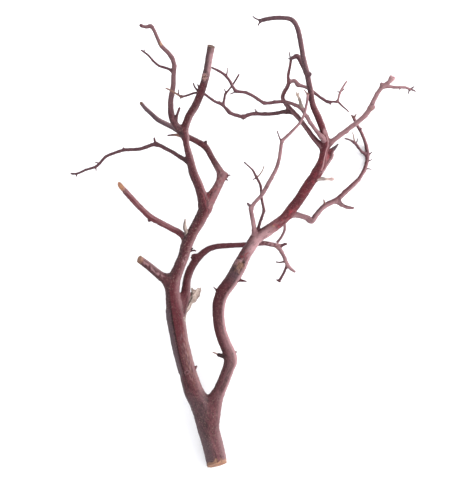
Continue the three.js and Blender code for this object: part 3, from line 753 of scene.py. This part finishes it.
def stem_marks(bark):
    """Foot to tip: the torn rim and dark veins of the butt, a knot, the leader's grey ribbon with its
    groove and red strip, rough and rubbed places, and the tall limb's scar and weathered, stained end.
    Painted shade lies in the groove and down the butt's left side, and painted highlights run along the
    right side of the butt, the upper leader and the tall limb.
    """
    ribbon = stretch(bark, 0.225, 0.375, 0.004) * smoothstep(-0.47, -0.6, bark.across)
    ribbon *= smoothstep(-0.6, -0.3, bark.top)
    groove = stripe(bark, -0.45, 0.07) * stretch(bark, 0.21, 0.40, 0.02)
    strip = stretch(bark, 0.16, 0.45, 0.05) * smoothstep(-0.42, -0.3, bark.across)
    strip *= smoothstep(0.95, 0.6, bark.across)
    carve(bark, 1.3 * MM * ribbon - 1.8 * MM * groove)
    # The groove's dark is painted shade in the carved groove; the ribbon's grey is its own.
    paint(bark, grey=0.75 * ribbon, dark=0.75 * groove)
    fresh = smoothstep(0.27, 0.33, bark.share + 0.02 * ripples(bark.places, 14 * MM, 32))
    paint(bark, red=strip * (0.4 + 0.5 * fresh))
    rough = stretch(bark, 0.20, 0.32, 0.03) * smoothstep(-0.3, 0.5, bark.across)
    short_streaks = ripples(bark.grain, (3 * MM, 3 * MM, 14 * MM), 33)
    long_streaks = ripples(bark.grain, (4 * MM, 4 * MM, 22 * MM), 34)
    paint(bark, pale=0.4 * rough * smoothstep(-0.6, 1.0, short_streaks))
    paint(bark, tan=0.3 * rough * smoothstep(-0.2, 1.2, long_streaks))
    paint(bark, red=0.5 * stretch(bark, 0.45, 0.74, 0.05) * smoothstep(-0.6, 0.2, bark.across))
    butt = stretch(bark, -0.1, 0.17, 0.04)
    veins = ripples(bark.grain, (3.5 * MM, 3.5 * MM, 60 * MM), 31)
    paint(bark, dark=(0.25 + 0.3 * butt) * smoothstep(0.2, 1.4, veins))
    paint(bark, grey=0.75 * butt * smoothstep(0.3, -0.7, bark.across))
    # Painted shade down the butt's left side.
    paint(bark, dark=0.45 * butt * smoothstep(0.2, -0.6, bark.across))
    paint(bark, red=0.35 * butt * stripe(bark, 0.1, 0.4), pale=0.12 * butt)
    # Painted highlight along the butt's right side; the specks are the bark's own.
    paint(bark, pale=0.4 * butt * smoothstep(0.3, 0.9, bark.across), specks=0.7 * butt)
    paint(bark, specks=0.7 * stretch(bark, 0.4, 0.62, 0.04))
    # Painted highlight along the stem's right side over the middle of its length.
    paint(bark, pale=0.4 * stretch(bark, 0.4, 0.62, 0.04) * smoothstep(0.1, 0.9, bark.across))
    paint(bark, red=0.5 * stretch(bark, 0.73, 0.86, 0.03) * smoothstep(0.7, 0.0, bark.across))
    # Painted highlight along the right side of the stem further up.
    paint(bark, pale=0.45 * stretch(bark, 0.73, 0.86, 0.03) * smoothstep(0.2, 0.8, bark.across))
    paint(bark, red=0.5 * stretch(bark, 0.86, 0.925, 0.01) * smoothstep(0.7, 0.0, bark.across))
    weathered = stretch(bark, 0.925, 1.1, 0.012)
    # The weathered end's grey is its own; its paler right half is a painted highlight.
    paint(bark, grey=0.45 * weathered, pale=0.65 * weathered * smoothstep(-0.5, 0.5, bark.across))
    carve(bark, 0.4 * MM * smoothstep(0.985, 0.992, bark.share))
    paint(bark, tan=0.1 * smoothstep(0.985, 0.992, bark.share))
    stained = smoothstep(0.982, 0.992, bark.share)
    paint(bark, dark=0.45 * stained + 0.45 * smoothstep(0.998, 1.0, bark.share))
    knot = spot(bark, 0.229, -0.05, 5.5 * MM, 8 * MM) + 0.15 * ripples(bark.places, 3 * MM, 41)
    carve(bark, 0.6 * MM * np.exp(-(((knot - 1) / 0.4) ** 2)) - 0.6 * MM * smoothstep(0.8, 0.2, knot))
    paint(bark, pale=0.3 * np.exp(-(((knot - 1) / 0.35) ** 2)), dark=0.5 * smoothstep(0.7, 0.4, knot))
    scar = spot(bark, 0.933, -0.2, 15 * MM, 9 * MM)
    carve(bark, 0.6 * MM * np.exp(-(((scar - 1) / 0.3) ** 2)) - 0.7 * MM * smoothstep(0.9, 0.3, scar))
    pits = smoothstep(0.1, 0.7, ripples(bark.places, 3.5 * MM, 43)) * smoothstep(1.2, 0.8, scar)
    paint(bark, pale=smoothstep(1.1, 0.7, scar) * (1 - pits), tan=0.5 * smoothstep(1.0, 0.5, scar))
    paint(bark, dark=0.9 * pits + 0.7 * np.exp(-(((scar - 1.25) / 0.25) ** 2)))
    bright = stretch(bark, 0.56, 0.68, 0.03) * smoothstep(-0.1, 0.5, bark.across)
    bright *= smoothstep(-0.4, 1.2, ripples(bark.grain, (4 * MM, 4 * MM, 18 * MM), 46))
    paint(bark, rose=0.25 * bright)
    rubbed = smoothstep(1.2, 0.5, spot(bark, 0.492, 0.55, 26 * MM, 9 * MM))
    paint(bark, pale=0.6 * rubbed * smoothstep(-0.8, 0.8, ripples(bark.places, 5 * MM, 44)))
    match_at_crotch(bark)
    torn = smoothstep(0.009, 0.004, bark.share + 0.004 * ripples(bark.places, 9 * MM, 45))
    carve(bark, -0.7 * MM * torn)
    paint(bark, tan=torn)


build("stem", STEM_SIDES, old_bark, fresh_cut, stem_marks)

# ----------------------------------------------------------------------------------- the right leader
# The second leader of the main fork, 20 mm thick, which bends twice and runs on into the tall hooked limb.
# Old bark has come off its bend in a smooth pink stretch, below a patch of bright red new bark. A wound has
# healed over in raised lips round bare tan wood.

add_sprout("right_leader", 0.169, 8, (-9, -1, 4), (-17, 1, 6), (-21, 2, 6), tip=0.7, dark=0.9)
add_sprout("right_leader", 0.169, 3.2, (-18, 2, 6), (-23, 4, 7), (-28, 6, 8), tan=0.5)
add_sprout("right_leader", 0.172, 4.6, (9, 2, 2), (12, 5, 3), dark=0.4)
add_sprout("right_leader", 0.304, 5.2, (-8, 3, 2), (-12, 7, 4), (-15, 10, 5), tip=0.25, dark=0.3)
add_sprout("right_leader", 0.345, 7.0, (10, -6, 2), (16, -7, 4), (21, -8, 5), tip=0.2, red=0.5, dark=0.2)
add_sprout("right_leader", 0.824, 6.9, (3, 0, 2), (6, 1, 3), tip=0.8, grey=0.3)
add_sprout("right_leader", 0.994, 3.4, (-3, -1, 0), (-11, 2, 2), (-16, 6, 1), grey=0.8)
add_sprout("right_leader", 0.994, 3.4, (-2, -2, 0), (-6, -6, -2), (-7, -9, -2), grey=0.7)


def right_leader_marks(bark):
    """The healed wound with its lips, cracks and pit, the smooth pink stretch and the flecks below it, the
    red patch, a small knot, painted shade in the pit, and painted highlights along the right edge and on a
    ridge below the crown fork.
    """
    foot = smoothstep(0.13, 0.06, bark.share)
    # Painted highlight along the right side of the foot; the specks are the bark's own.
    paint(bark, specks=0.7 * foot, pale=foot * (0.12 + 0.35 * smoothstep(0.3, 0.9, bark.across)))
    wound = spot(bark, 0.373, 0.05, 19 * MM, 14 * MM)
    edge = wound + 0.22 * ripples(bark.places, 7 * MM, 5)
    carve(bark, 1.2 * MM * np.exp(-(((edge - 1.05) / 0.3) ** 2)) - 0.9 * MM * smoothstep(0.95, 0.5, edge))
    cracks = ripples(bark.grain, (2.5 * MM, 2.5 * MM, 14 * MM), 6)
    paint(bark, tan=smoothstep(1.25, 0.5, edge) * (0.5 + 0.2 * cracks))
    paint(bark, dark=0.45 * smoothstep(1.25, 0.7, edge) * smoothstep(0.3, -1.0, cracks))
    paint(bark, pale=0.7 * np.exp(-(((edge - 1.15) / 0.3) ** 2)) * smoothstep(0.364, 0.374, bark.share))
    paint(bark, grey=0.5 * stretch(bark, 0.339, 0.376, 0.015))
    pit = spot(bark, 0.384, 0.25, 6.5 * MM, 6 * MM)
    carve(bark, -1.8 * MM * smoothstep(1.2, 0.2, pit))
    # Painted shade in the carved pit.
    paint(bark, dark=0.9 * smoothstep(1.3, 0.7, pit))
    paint(bark, dark=0.75 * smoothstep(1.2, 0.4, spot(bark, 0.366, -0.5, 17 * MM, 7 * MM)))
    paint(bark, pale=smoothstep(1.2, 0.5, spot(bark, 0.382, -0.25, 5 * MM, 6 * MM)))
    shade = smoothstep(0.46, 0.43, bark.share)
    bare = stretch(bark, 0.400, 0.478, 0.018) * smoothstep(-1.0, 0.1 + 0.4 * shade, bark.across)
    paint(bark, pale=bare * (0.95 + 0.1 * ripples(bark.places, 14 * MM, 8)))
    patch = stretch(bark, 0.473, 0.572, 0.012)
    paint(bark, red=0.75 * patch)
    streaks = ripples(bark.grain, (3 * MM, 3 * MM, 16 * MM), 9) - 5 * (bark.share - 0.5) / 0.1
    paint(bark, pale=0.6 * patch * smoothstep(-1.5, 4.0, streaks))
    blotch = smoothstep(0.0, 1.2, ripples(bark.places, 9 * MM, 12)) * smoothstep(-0.9, 0.3, bark.across)
    paint(bark, rose=0.8 * stretch(bark, 0.480, 0.535, 0.015) * (0.1 + 0.8 * blotch))
    flush = smoothstep(-0.6, 1.0, ripples(bark.places, 12 * MM, 13))
    paint(bark, rose=0.22 * stretch(bark, 0.56, 0.66, 0.04) * flush)
    paint(bark, pale=0.22 * stretch(bark, 0.11, 0.24, 0.04) * smoothstep(-0.7, 0.2, bark.across))
    paint(bark, red=0.5 * stretch(bark, 0.18, 0.35, 0.04) * smoothstep(0.7, 0.0, bark.across))
    paint(bark, red=0.8 * stretch(bark, 0.545, 0.757, 0.03))
    # Painted highlight along the right edge of the lower half.
    paint(bark, pale=0.75 * stretch(bark, 0.05, 0.465, 0.03) * smoothstep(0.35, 0.9, bark.across))
    # Painted highlight on a ridge below the crown fork.
    paint(bark, pale=0.75 * stripe(bark, 0.5, 0.14) * stretch(bark, 0.622, 0.70, 0.012))
    flecks = smoothstep(1.2, 0.5, spot(bark, 0.398, -0.15, 20 * MM, 12 * MM))
    flecks *= smoothstep(-0.2, 0.9, ripples(bark.grain, (3 * MM, 3 * MM, 10 * MM), 14))
    paint(bark, rose=0.8 * flecks, dark=0.45 * flecks)
    paint(bark, pale=0.6 * smoothstep(1.2, 0.4, spot(bark, 0.703, 0.35, 12 * MM, 8 * MM)))
    knot = spot(bark, 0.480, -0.1, 4.5 * MM, 4.5 * MM)
    carve(bark, 0.6 * MM * smoothstep(1.3, 0.4, knot))
    paint(bark, tan=0.7 * smoothstep(1.1, 0.6, knot), grey=0.4 * stretch(bark, 0.806, 1.1, 0.04))
    match_at_crotch(bark)


build("right_leader", STEM_SIDES, old_bark, fresh_cut, right_leader_marks)

# ------------------------------------------------------------------------------------- the sawn limbs
# Two side limbs of the left leader, taken off with a saw. The short one has a browned end, and the bark
# has peeled off the last 10 mm of the long one, on whose tip the branch rests.

add_sprout("left_cut_limb", 0.482, 5.8, (-3, -4, 0), (-4, -7, 0), tip=0.7)


def lower_left_stub_marks(bark):
    """A pale streak where the bark has peeled along the top, and a browned end."""
    carve(bark, 1.3 * MM * smoothstep(-0.6, 0.4, bark.across) * smoothstep(0.2, 0.5, bark.share))
    streak = stripe(bark, 0.1, 0.35) * stretch(bark, 0.35, 0.95, 0.05)
    paint(bark, pale=0.6 * streak * smoothstep(-0.8, 0.5, ripples(bark.places, 8 * MM, 3)))
    # The browned end is its own; the darker left side is painted shade.
    paint(bark, tan=0.6 * smoothstep(0.9, 0.97, bark.share), dark=0.3 * smoothstep(0.0, -0.8, bark.across))


def left_cut_limb_marks(bark):
    """Bare orange-tan wood beyond a torn edge of bark."""
    edge = 0.935 + 0.02 * ripples(bark.places, 6 * MM, 4)
    bare = smoothstep(edge - 0.008, edge + 0.008, bark.share)
    carve(bark, -0.5 * MM * bare)
    paint(bark, tan=0.75 * bare, pale=0.9 * bare)
    lit = smoothstep(-0.6, 0.9, bark.across + 0.4 * ripples(bark.grain, (4 * MM, 4 * MM, 30 * MM), 7))
    paint(bark, red=0.4 * stretch(bark, 0.0, 0.9, 0.1) * (1 - lit))
    paint(bark, rose=0.25 * stretch(bark, 0.1, 0.9, 0.1), pale=0.6 * lit * stretch(bark, 0.15, 0.95, 0.1))
    paint(bark, specks=0.7 * bark.share)


browned_cut = cut_wood("browned_old_cut", "#88654c", "#714f40", "#573d35")
build("lower_left_stub", 64, old_bark, browned_cut, lower_left_stub_marks)
build("left_cut_limb", 64, old_bark, fresh_cut, left_cut_limb_marks)

# -------------------------------------------------------------------------------------- the dead wood
# Stubs and a twig that died years ago and lost their bark. The bare wood has weathered to a dry, dull
# grey-tan with fissures along the grain. The largest is a slab with a knobbly, ragged end.

dead_wood = manzanita_bark("weathered_dead_manzanita", "#8f7d74", "#c0aca1", "#e0d0c5", "#c0aca1", 0.8, 0.2)
add_sprout("pale_stub", 0.95, 5.0, (1, 0, 0), (4, 0, 1), tip=0.8, pale=0.5)
add_sprout("crown_dead_twig", 0.913, 2.7, (-2, 1, 0), (-2, 7, 1), tan=0.3)
add_sprout("crown_dead_twig", 0.913, 2.7, (0, 1, 0), (2, 6, 2), tan=0.3)


def slab_marks(bark):
    """It flattens and widens to ragged lobes at its end, with a furrow down its left side painted black as
    shade.
    """
    lobes = smoothstep(0.45, 0.8, bark.share)
    pith_height = np.repeat(bark.limb.line[:, 2], bark.sides)
    bark.places[:, 2] -= 0.4 * lobes * (bark.places[:, 2] - pith_height)
    carve(bark, lobes * bark.thick * 0.28 * ripples(bark.places, 9 * MM, 21))
    carve(bark, 0.7 * MM * ripples(bark.places, 3.5 * MM, 22) * lobes)
    carve(bark, 1.5 * MM * smoothstep(-0.2, -0.9, bark.across) * stretch(bark, 0.3, 0.8, 0.15))
    carve(bark, 1.0 * MM * smoothstep(0.5, 0.2, bark.share))
    # A carved furrow down the left side, painted black: painted shade.
    shaded_furrow = stripe(bark, -0.45, 0.2) * stretch(bark, 0.3, 0.85, 0.08)
    carve(bark, -1.5 * MM * shaded_furrow)
    paint(bark, dark=shaded_furrow, grey=0.35 * smoothstep(0.6, 0.3, bark.share))


def pale_stub_marks(bark):
    """Grey at its foot and pale at its end."""
    paint(bark, grey=0.7 * smoothstep(0.75, 0.55, bark.share))
    # Painted shade down its left side.
    paint(bark, dark=0.25 * smoothstep(0.6, -0.4, bark.across))
    paint(bark, pale=0.6 * smoothstep(0.7, 0.85, bark.share))


def pointed_dead_twig_marks(bark):
    """Grey, and darker down its left side, where the darkening is painted shade."""
    paint(bark, grey=0.55 * smoothstep(0.7, -0.5, bark.across))
    # The even dark is its own; the extra dark on the left is painted shade.
    paint(bark, dark=0.42 + 0.3 * smoothstep(0.0, -0.8, bark.across))


def crown_dead_twig_marks(bark):
    """Dark up to its pale, fresher tip."""
    paint(bark, dark=0.8 * smoothstep(0.95, 0.65, bark.share))


for name, sides, marks, buds in (
    ("dead_slab_stub", 56, slab_marks, 0), ("pointed_dead_twig", 40, pointed_dead_twig_marks, 0),
    ("pale_stub", 32, pale_stub_marks, 0), ("crown_dead_twig", 32, crown_dead_twig_marks, 0.3),
):
    build(name, sides, dead_wood, dead_wood, marks, buds)

# ------------------------------------------------------------------------------- the other old limbs
# Limbs of 7 to 14 mm that fork off the leaders, with the stem's bark. The elbow limb crosses behind the
# upper leader and ends grey. The prong was torn off and has split to a grey spike.

add_sprout("elbow_limb", 0.318, 11.5, (2, 1, 1), (6, 2, 1), (8, 1, 1), tip=0.75)
add_sprout("elbow_limb", 0.316, 5.2, (5, -1, 2), (10, 1, 4), (15, 2, 4), tip=0.3, grey=0.2)
add_sprout("elbow_limb", 0.314, 4.5, (4, -2, 1), (8, -4, 1), (11, -6, 0), tip=0.4, grey=0.2)
add_sprout("elbow_limb", 0.529, 5.8, (2, 4, 2), (4, 8, 3), tip=0.7)
add_sprout("crooked_top_limb", 0.075, 5.8, (5, 6, 2), (9, 8, 4), dark=0.8)
add_sprout("crooked_top_limb", 0.985, 4.4, (-1, 0, 0), (-4, 3, 1), tip=0.8)
add_sprout("under_limb", 0.444, 9.5, (-4, 2, 1), (-9, 3, 1), (-11, 3, 1), tip=0.8, red=0.4)
add_sprout("under_limb", 1.0, 5.8, (2, 0, 0), (8, 3, 1), (13, 4, 1), tip=0.6)
add_sprout("arching_right_limb", 0.160, 5.2, (0, 2, 1), (-1, 7, 3), tip=0.5)
add_sprout("arching_right_limb", 0.304, 4.5, (-1, 2, 1), (-2, 6, 3), (-3, 10, 4), tip=0.4, tan=0.3)
add_sprout("arching_right_limb", 0.663, 2.7, (2, -1, 1), (6, -1, 2), (11, -2, 3))
add_sprout("arching_right_limb", 0.701, 2.7, (2, 1, 1), (5, 2, 2), (9, 4, 2))
add_sprout("arching_right_limb", 0.738, 2.9, (2, 1, 1), (5, 4, 3), (7, 6, 5))
add_sprout("arching_right_limb", 0.909, 4.5, (1, 0, 1), (4, 1, 2), tip=0.7)
add_sprout("arching_right_limb", 0.990, 3.6, (-1, 0, 0), (-3, 3, 1), (-5, 5, 1), tan=0.2)
add_sprout("arching_right_limb", 0.990, 3.4, (1, 1, 0), (3, 4, 1), (4, 7, 1), tan=0.2)
add_sprout("crown_left_limb", 0.98, 3.2, (-1, 3, 0), (-2, 8, 1), (-3, 13, 2), grey=0.8)
add_sprout("crown_left_limb", 0.98, 2.7, (0, 3, 0), (2, 7, 2), grey=0.8)
add_sprout("crown_left_limb", 0.97, 2.7, (-1, 3, 0), (-5, 6, -1), grey=0.8)
add_sprout("crown_right_limb", 0.615, 8.0, (3, 0, 2), (7, 1, 3), tip=0.7, pale=0.5, tan=0.3)
add_sprout("crown_right_limb", 0.872, 6.0, (-2, 2, 1), (-3, 6, 2), tip=0.7, grey=0.4)
add_sprout("crown_right_limb", 0.975, 5.4, (-1, 3, 0), (1, 8, 1), tip=0.8, pale=0.9)
add_sprout("crown_right_limb", 0.975, 5.8, (1, 1, 0), (7, 5, 1), tip=0.8, pale=0.9)


def elbow_marks(bark):
    """Pale and rosy to its bend, red beyond, and grey where it comes out on the far side."""
    paint(bark, pale=0.35 * stretch(bark, 0.0, 0.38, 0.03) * smoothstep(-0.7, 0.5, bark.across))
    paint(bark, red=0.5 * stretch(bark, 0.40, 0.68, 0.04) * smoothstep(0.8, 0.0, bark.across))
    patchy = smoothstep(-0.3, 1.2, ripples(bark.grain, (4 * MM, 4 * MM, 14 * MM), 4))
    paint(bark, rose=stretch(bark, 0.05, 0.36, 0.04) * (0.06 + 0.22 * patchy))
    paint(bark, specks=0.8 * stretch(bark, 0.0, 0.6, 0.05))
    paint(bark, pale=stretch(bark, 0.22, 0.38, 0.04) * (0.3 + 0.12 * ripples(bark.places, 9 * MM, 3)))
    paint(bark, grey=0.75 * stretch(bark, 0.68, 1.1, 0.06))


def crooked_top_marks(bark):
    """Dark at its foot, paler upwards, with a small tan scar near its top."""
    scar = spot(bark, 0.764, 0.3, 9 * MM, 5 * MM)
    paint(bark, tan=smoothstep(1.1, 0.7, scar), pale=0.25 * stretch(bark, 0.3, 1.1, 0.1))
    paint(bark, dark=0.4 * stretch(bark, -0.1, 0.12, 0.05))


def prong_marks(bark):
    """Split open: dark red wood on the left, pink bark on the right, and a grey tip."""
    spike = smoothstep(0.74, 0.80, bark.share)
    paint(bark, red=0.9 * smoothstep(0.4, -0.1, bark.across) * (1 - spike))
    paint(bark, rose=0.5 * smoothstep(0.5, 0.0, bark.across) * smoothstep(0.62, 0.45, bark.share))
    paint(bark, pale=0.6 * smoothstep(0.4, 0.9, bark.across))
    bark.data["pale"] *= 1 - spike
    paint(bark, grey=spike, dark=0.35 * spike)
    carve(bark, -1.0 * MM * stripe(bark, -0.1, 0.25) * stretch(bark, 0.45, 0.8, 0.1))


def lit_side_marks(bark):
    """Paler from left to right: a painted highlight on the side towards the lamp."""
    paint(bark, pale=0.45 * smoothstep(-0.8, 0.8, bark.across))


def arching_marks(bark):
    """A painted highlight that grows from left to right, weaker on the left beyond the side twig, where that
    side is dark red.
    """
    lit_side_marks(bark)
    beyond = smoothstep(0.25, 0.4, bark.share)
    bark.data["pale"] *= 1 - 0.5 * beyond * smoothstep(0.6, 0.1, bark.across)
    paint(bark, red=0.35 * beyond * smoothstep(0.5, -0.2, bark.across))


def under_limb_marks(bark):
    """Red, and pale and speckled at its end."""
    paint(bark, red=0.55 * stretch(bark, 0.0, 0.85, 0.03) * smoothstep(0.9, 0.2, bark.across))
    end = stretch(bark, 0.88, 1.1, 0.03)
    paint(bark, pale=0.6 * end * smoothstep(-1.0, 0.8, ripples(bark.places, 7 * MM, 4)), specks=0.8 * end)


def crown_left_marks(bark):
    """Clouded with red, with a paler line along its left side."""
    paint(bark, red=0.5 * smoothstep(-0.9, 0.5, ripples(bark.places, 25 * MM, 5)))
    paint(bark, pale=0.3 * stripe(bark, -0.4, 0.4))


def crown_right_marks(bark):
    """Pale from its foot on, and bare at its clubbed end."""
    paint(bark, pale=0.6 * stretch(bark, 0.1, 1.1, 0.1))
    paint(bark, pale=0.9 * smoothstep(0.9, 0.97, bark.share))


for name, sides, slot, marks, buds in (
    ("elbow_limb", 64, "bark", elbow_marks, 0), ("crooked_top_limb", 48, "bark", crooked_top_marks, 0.25),
    ("under_limb", 64, "bark", under_limb_marks, 0), ("arching_right_limb", 48, "bark", arching_marks, 0.3),
    ("arch_side_twig", 32, "twig_bark", lit_side_marks, 0.4), ("broken_prong", 56, "bark", prong_marks, 0),
    ("crown_left_limb", 48, "bark", crown_left_marks, 0),
    ("crown_right_limb", 48, "bark", crown_right_marks, 0.35),
):
    build(name, sides, old_bark, browned_cut, marks, buds)

# ------------------------------------------------------------------------------------------ the twigs
# Shoots of the last few years, 1.5 to 6 mm thick, kinked at each old node where a bud or a side twig once
# sat. Their bark is thinner, paler and greyer than the stem's, and darker at the nodes.

twig_bark = manzanita_bark("young_manzanita_bark", "#281013", "#471b26", "#6e454b", "#4f3138")
add_sprout("long_left_twig", 0.284, 5.2, (-1, 1, 1), (-3, 5, 3), (-4, 11, 4), dark=0.3)
add_sprout("long_left_twig", 0.528, 4.4, (-1, 1, 1), (-3, 4, 2), tip=0.7)
add_sprout("long_left_twig", 0.742, 3.3, (-1, -1, 1), (-4, 0, 2), (-8, 1, 3))
add_sprout("long_left_twig", 0.790, 2.7, (0, -1, 0), (1, -4, -1), (1, -7, -1))
add_sprout("long_left_twig", 0.956, 2.7, (0, -1, 0), (2, -5, 0), tip=0.7)
add_sprout("crook_side_twig", 0.9, 2, (0, 1, 0), (2, 4, 1))
add_sprout("under_limb_fork", 0.526, 3.8, (-4, -1, 0), (-10, -2, 1), (-17, -1, 1), dark=0.4)
add_sprout("under_t_twig", 0.98, 3.2, (-1, 0, 0), (-5, 2, 0), tip=0.7)
add_sprout("under_t_twig", 0.98, 3.2, (1, -1, 0), (3, -2, 0), tip=0.7)
add_sprout("long_front_twig", 0.208, 5.4, (-2, 2, 1), (-5, 5, 2), (-7, 8, 2), tip=0.7, grey=0.7)
add_sprout("long_front_twig", 0.656, 3.4, (-1, 3, 1), (-4, 10, 2), (-7, 19, 3), grey=0.3)
add_sprout("long_front_twig", 0.99, 2.7, (0, 1, 0), (-3, 5, 1), (-6, 9, 1), tan=0.3)
add_sprout("long_front_twig", 0.98, 2.5, (0, 1, 0), (3, 5, 1), tan=0.3)
add_sprout("fan_twig", 0.754, 2.7, (-1, 0, 0), (-4, -1, 1), (-7, -3, 1))
add_sprout("fan_twig", 0.762, 2.6, (1, 1, 0), (5, 5, 2), (9, 11, 3), (12, 19, 4), tan=0.5)
add_sprout("arch_side_twig", 0.591, 3.9, (0, -2, 0), (-1, -5, 0), tip=0.6)
add_sprout("arch_fan_twig", 0.528, 2.7, (-1, 1, 0), (-4, 8, 2), (-5, 14, 3), (-7, 21, 3), tan=0.6)
add_sprout("arch_fan_twig", 0.588, 2.5, (1, 1, 0), (3, 5, 1), (4, 9, 2), grey=0.6)
add_sprout("crown_right_tip_twig", 0.955, 3.2, (0, 1, 0), (3, 3, 1), (6, 5, 1), grey=0.3)
add_sprout("crown_right_tip_twig", 0.98, 3.2, (1, 0, 0), (4, -1, 0), (6, -4, 0), grey=0.3)
add_sprout("crown_right_tip_twig", 0.909, 3.2, (0, -1, 0), (-1, -4, -1), (-2, -8, -1), grey=0.3)
add_sprout("crown_right_tip_twig", 0.591, 2.5, (0, -1, 0), (-1, -5, 0))
add_sprout("crown_loop_twig", 0.612, 3.9, (0, -1, 0), (0, -5, 0), tip=0.7)
add_sprout("crown_loop_twig", 0.815, 2.5, (0, 0, 0), (-2, 2, 1), (-5, 4, 1))
add_sprout("crown_loop_twig", 0.824, 2.5, (0, 1, 0), (3, 2, 1), (6, 5, 1))
add_sprout("crown_loop_twig", 0.702, 3.8, (1, -1, 0), (8, -8, -1), (13, -12, -2), (18, -17, -2))
add_sprout("crown_front_limb", 0.208, 4.4, (0, 2, 1), (-1, 7, 2), tip=0.6)
add_sprout("crown_front_limb", 0.762, 2.9, (-1, -1, 0), (-5, -3, -1), (-10, -5, -1), grey=0.3)
add_sprout("crown_front_limb", 0.875, 2.9, (0, 2, 1), (1, 8, 2), (1, 14, 3), grey=0.3)
add_sprout("low_crossing_limb", 0.253, 3.7, (-1, 2, 1), (-3, 5, 2), (-5, 8, 2), tip=0.4)
add_sprout("low_crossing_limb", 0.347, 3.9, (-1, -1, 0), (-3, -5, 0), tip=0.6)
add_sprout("low_crossing_limb", 0.481, 3.9, (0, 1, 1), (-1, 4, 2), tip=0.7)
add_sprout("low_crossing_limb", 0.546, 3.4, (-1, 1, 1), (-4, 5, 2), tip=0.7, tan=0.4)
add_sprout("low_crossing_limb", 0.866, 3.2, (0, 1, 0), (-1, -4, 0), tip=0.7)
add_sprout("low_crossing_limb", 0.888, 2.7, (0, 1, 0), (0, 5, 1), (0, 9, 2), grey=0.3)
add_sprout("crossing_side_twig", 0.341, 2.7, (-1, 1, 0), (-3, 6, 1), tip=0.6)


def crown_front_marks(bark):
    """Pale at its foot: a painted highlight on the crown fork."""
    paint(bark, pale=0.45 * smoothstep(0.45, 0.2, bark.share))


def pale_twig_marks(bark):
    """Pale and clouded all over."""
    paint(bark, pale=0.5 + 0.15 * ripples(bark.places, 20 * MM, 2))


def tan_marks(bark):
    """Tan at its foot."""
    paint(bark, tan=0.55 * smoothstep(0.9, 0.3, bark.share))


def pale_end_marks(bark):
    """Pale at its foot and paler at its end."""
    paint(bark, pale=0.35 * smoothstep(0.5, 0.3, bark.share))
    paint(bark, pale=0.7 * smoothstep(0.6, 0.85, bark.share))


def dark_foot_marks(bark):
    """Dark at its foot and grey at its end."""
    paint(bark, dark=0.35 * smoothstep(0.4, 0.1, bark.share), grey=0.3 * smoothstep(0.8, 1.0, bark.share))


def tan_end_marks(bark):
    """The same, with a tan end."""
    dark_foot_marks(bark)
    paint(bark, tan=0.6 * smoothstep(0.84, 0.92, bark.share))


for name, sides, marks in (
    ("long_left_twig", 36, dark_foot_marks), ("tan_thorn_twig", 28, tan_marks), ("crook_side_twig", 28, None),
    ("fork_twiglet", 28, None), ("under_limb_fork", 32, pale_twig_marks), ("under_t_twig", 28, None),
    ("long_front_twig", 36, pale_twig_marks), ("fan_twig", 28, dark_foot_marks),
    ("hanging_twig", 28, pale_twig_marks), ("arch_fan_twig", 28, None),
    ("dark_hooked_twig", 32, dark_foot_marks), ("crown_loop_twig", 32, pale_end_marks),
    ("low_crossing_limb", 36, tan_end_marks), ("crossing_side_twig", 28, None),
    ("crown_front_limb", 36, crown_front_marks), ("crown_right_tip_twig", 32, pale_twig_marks),
):
    build(name, sides, twig_bark, browned_cut, marks, 0.3)

# --------------------------------------------------------------------------------------- the surface
# A plain sheet of white paper that the branch lies on, laid flat, and far larger than the branch on every
# side. Its matt face shows no gleam, only faint shadows where the wood touches it.

bpy.ops.mesh.primitive_plane_add(size=12)
floor = bpy.context.object
floor.name = "pale_floor"
paper, _, surface = new_material("matt_white_paper")
surface.inputs["Base Color"].default_value = linear("#fcfcfd")
surface.inputs["Roughness"].default_value = 1.0
surface.inputs["Specular IOR Level"].default_value = 0.0
floor.data.materials.append(paper)

# ------------------------------------------------------------------------------------------ the light
# Soft daylight from all round, and one large soft lamp low on the right that picks out the limbs' right
# sides. The surface is lit a little past white, so shadows on it are faint.

sky = bpy.data.worlds.new("studio_air")
sky.use_nodes = True
sky.node_tree.nodes["Background"].inputs["Color"].default_value = (0.97, 0.98, 1, 1)
sky.node_tree.nodes["Background"].inputs["Strength"].default_value = 1.32
bpy.context.scene.world = sky

lamp = bpy.data.objects.new("soft_lamp_on_the_right", bpy.data.lights.new("soft_lamp_on_the_right", "AREA"))
lamp.data.size = 1.6
lamp.data.energy = 78
lamp.location = (2.2, 0.6, 1.1)
lamp.rotation_mode = "QUATERNION"
lamp.rotation_quaternion = (Vector((0, 0, 0.1)) - lamp.location).to_track_quat("-Z", "Y")
bpy.context.collection.objects.link(lamp)

# ----------------------------------------------------------------------------------------- the camera
# It looks straight down through a long lens, from three metres up and a little off the middle of the
# solids' box, and the colours of the scene reach the eye as they are, without a film's curve.

CAMERA_OFFSET = Vector((-0.0102, 0.0151, 2.868))  # from the middle of the solids' box

low, high = (Vector(corner) for corner in cad_box)
middle = (low + high) / 2
camera = bpy.data.objects.new("camera", bpy.data.cameras.new("camera"))
camera.data.lens = 135
camera.data.sensor_width = 36
camera.location = middle + CAMERA_OFFSET
bpy.context.collection.objects.link(camera)
bpy.context.scene.camera = camera
bpy.context.scene.view_settings.view_transform = "Standard"
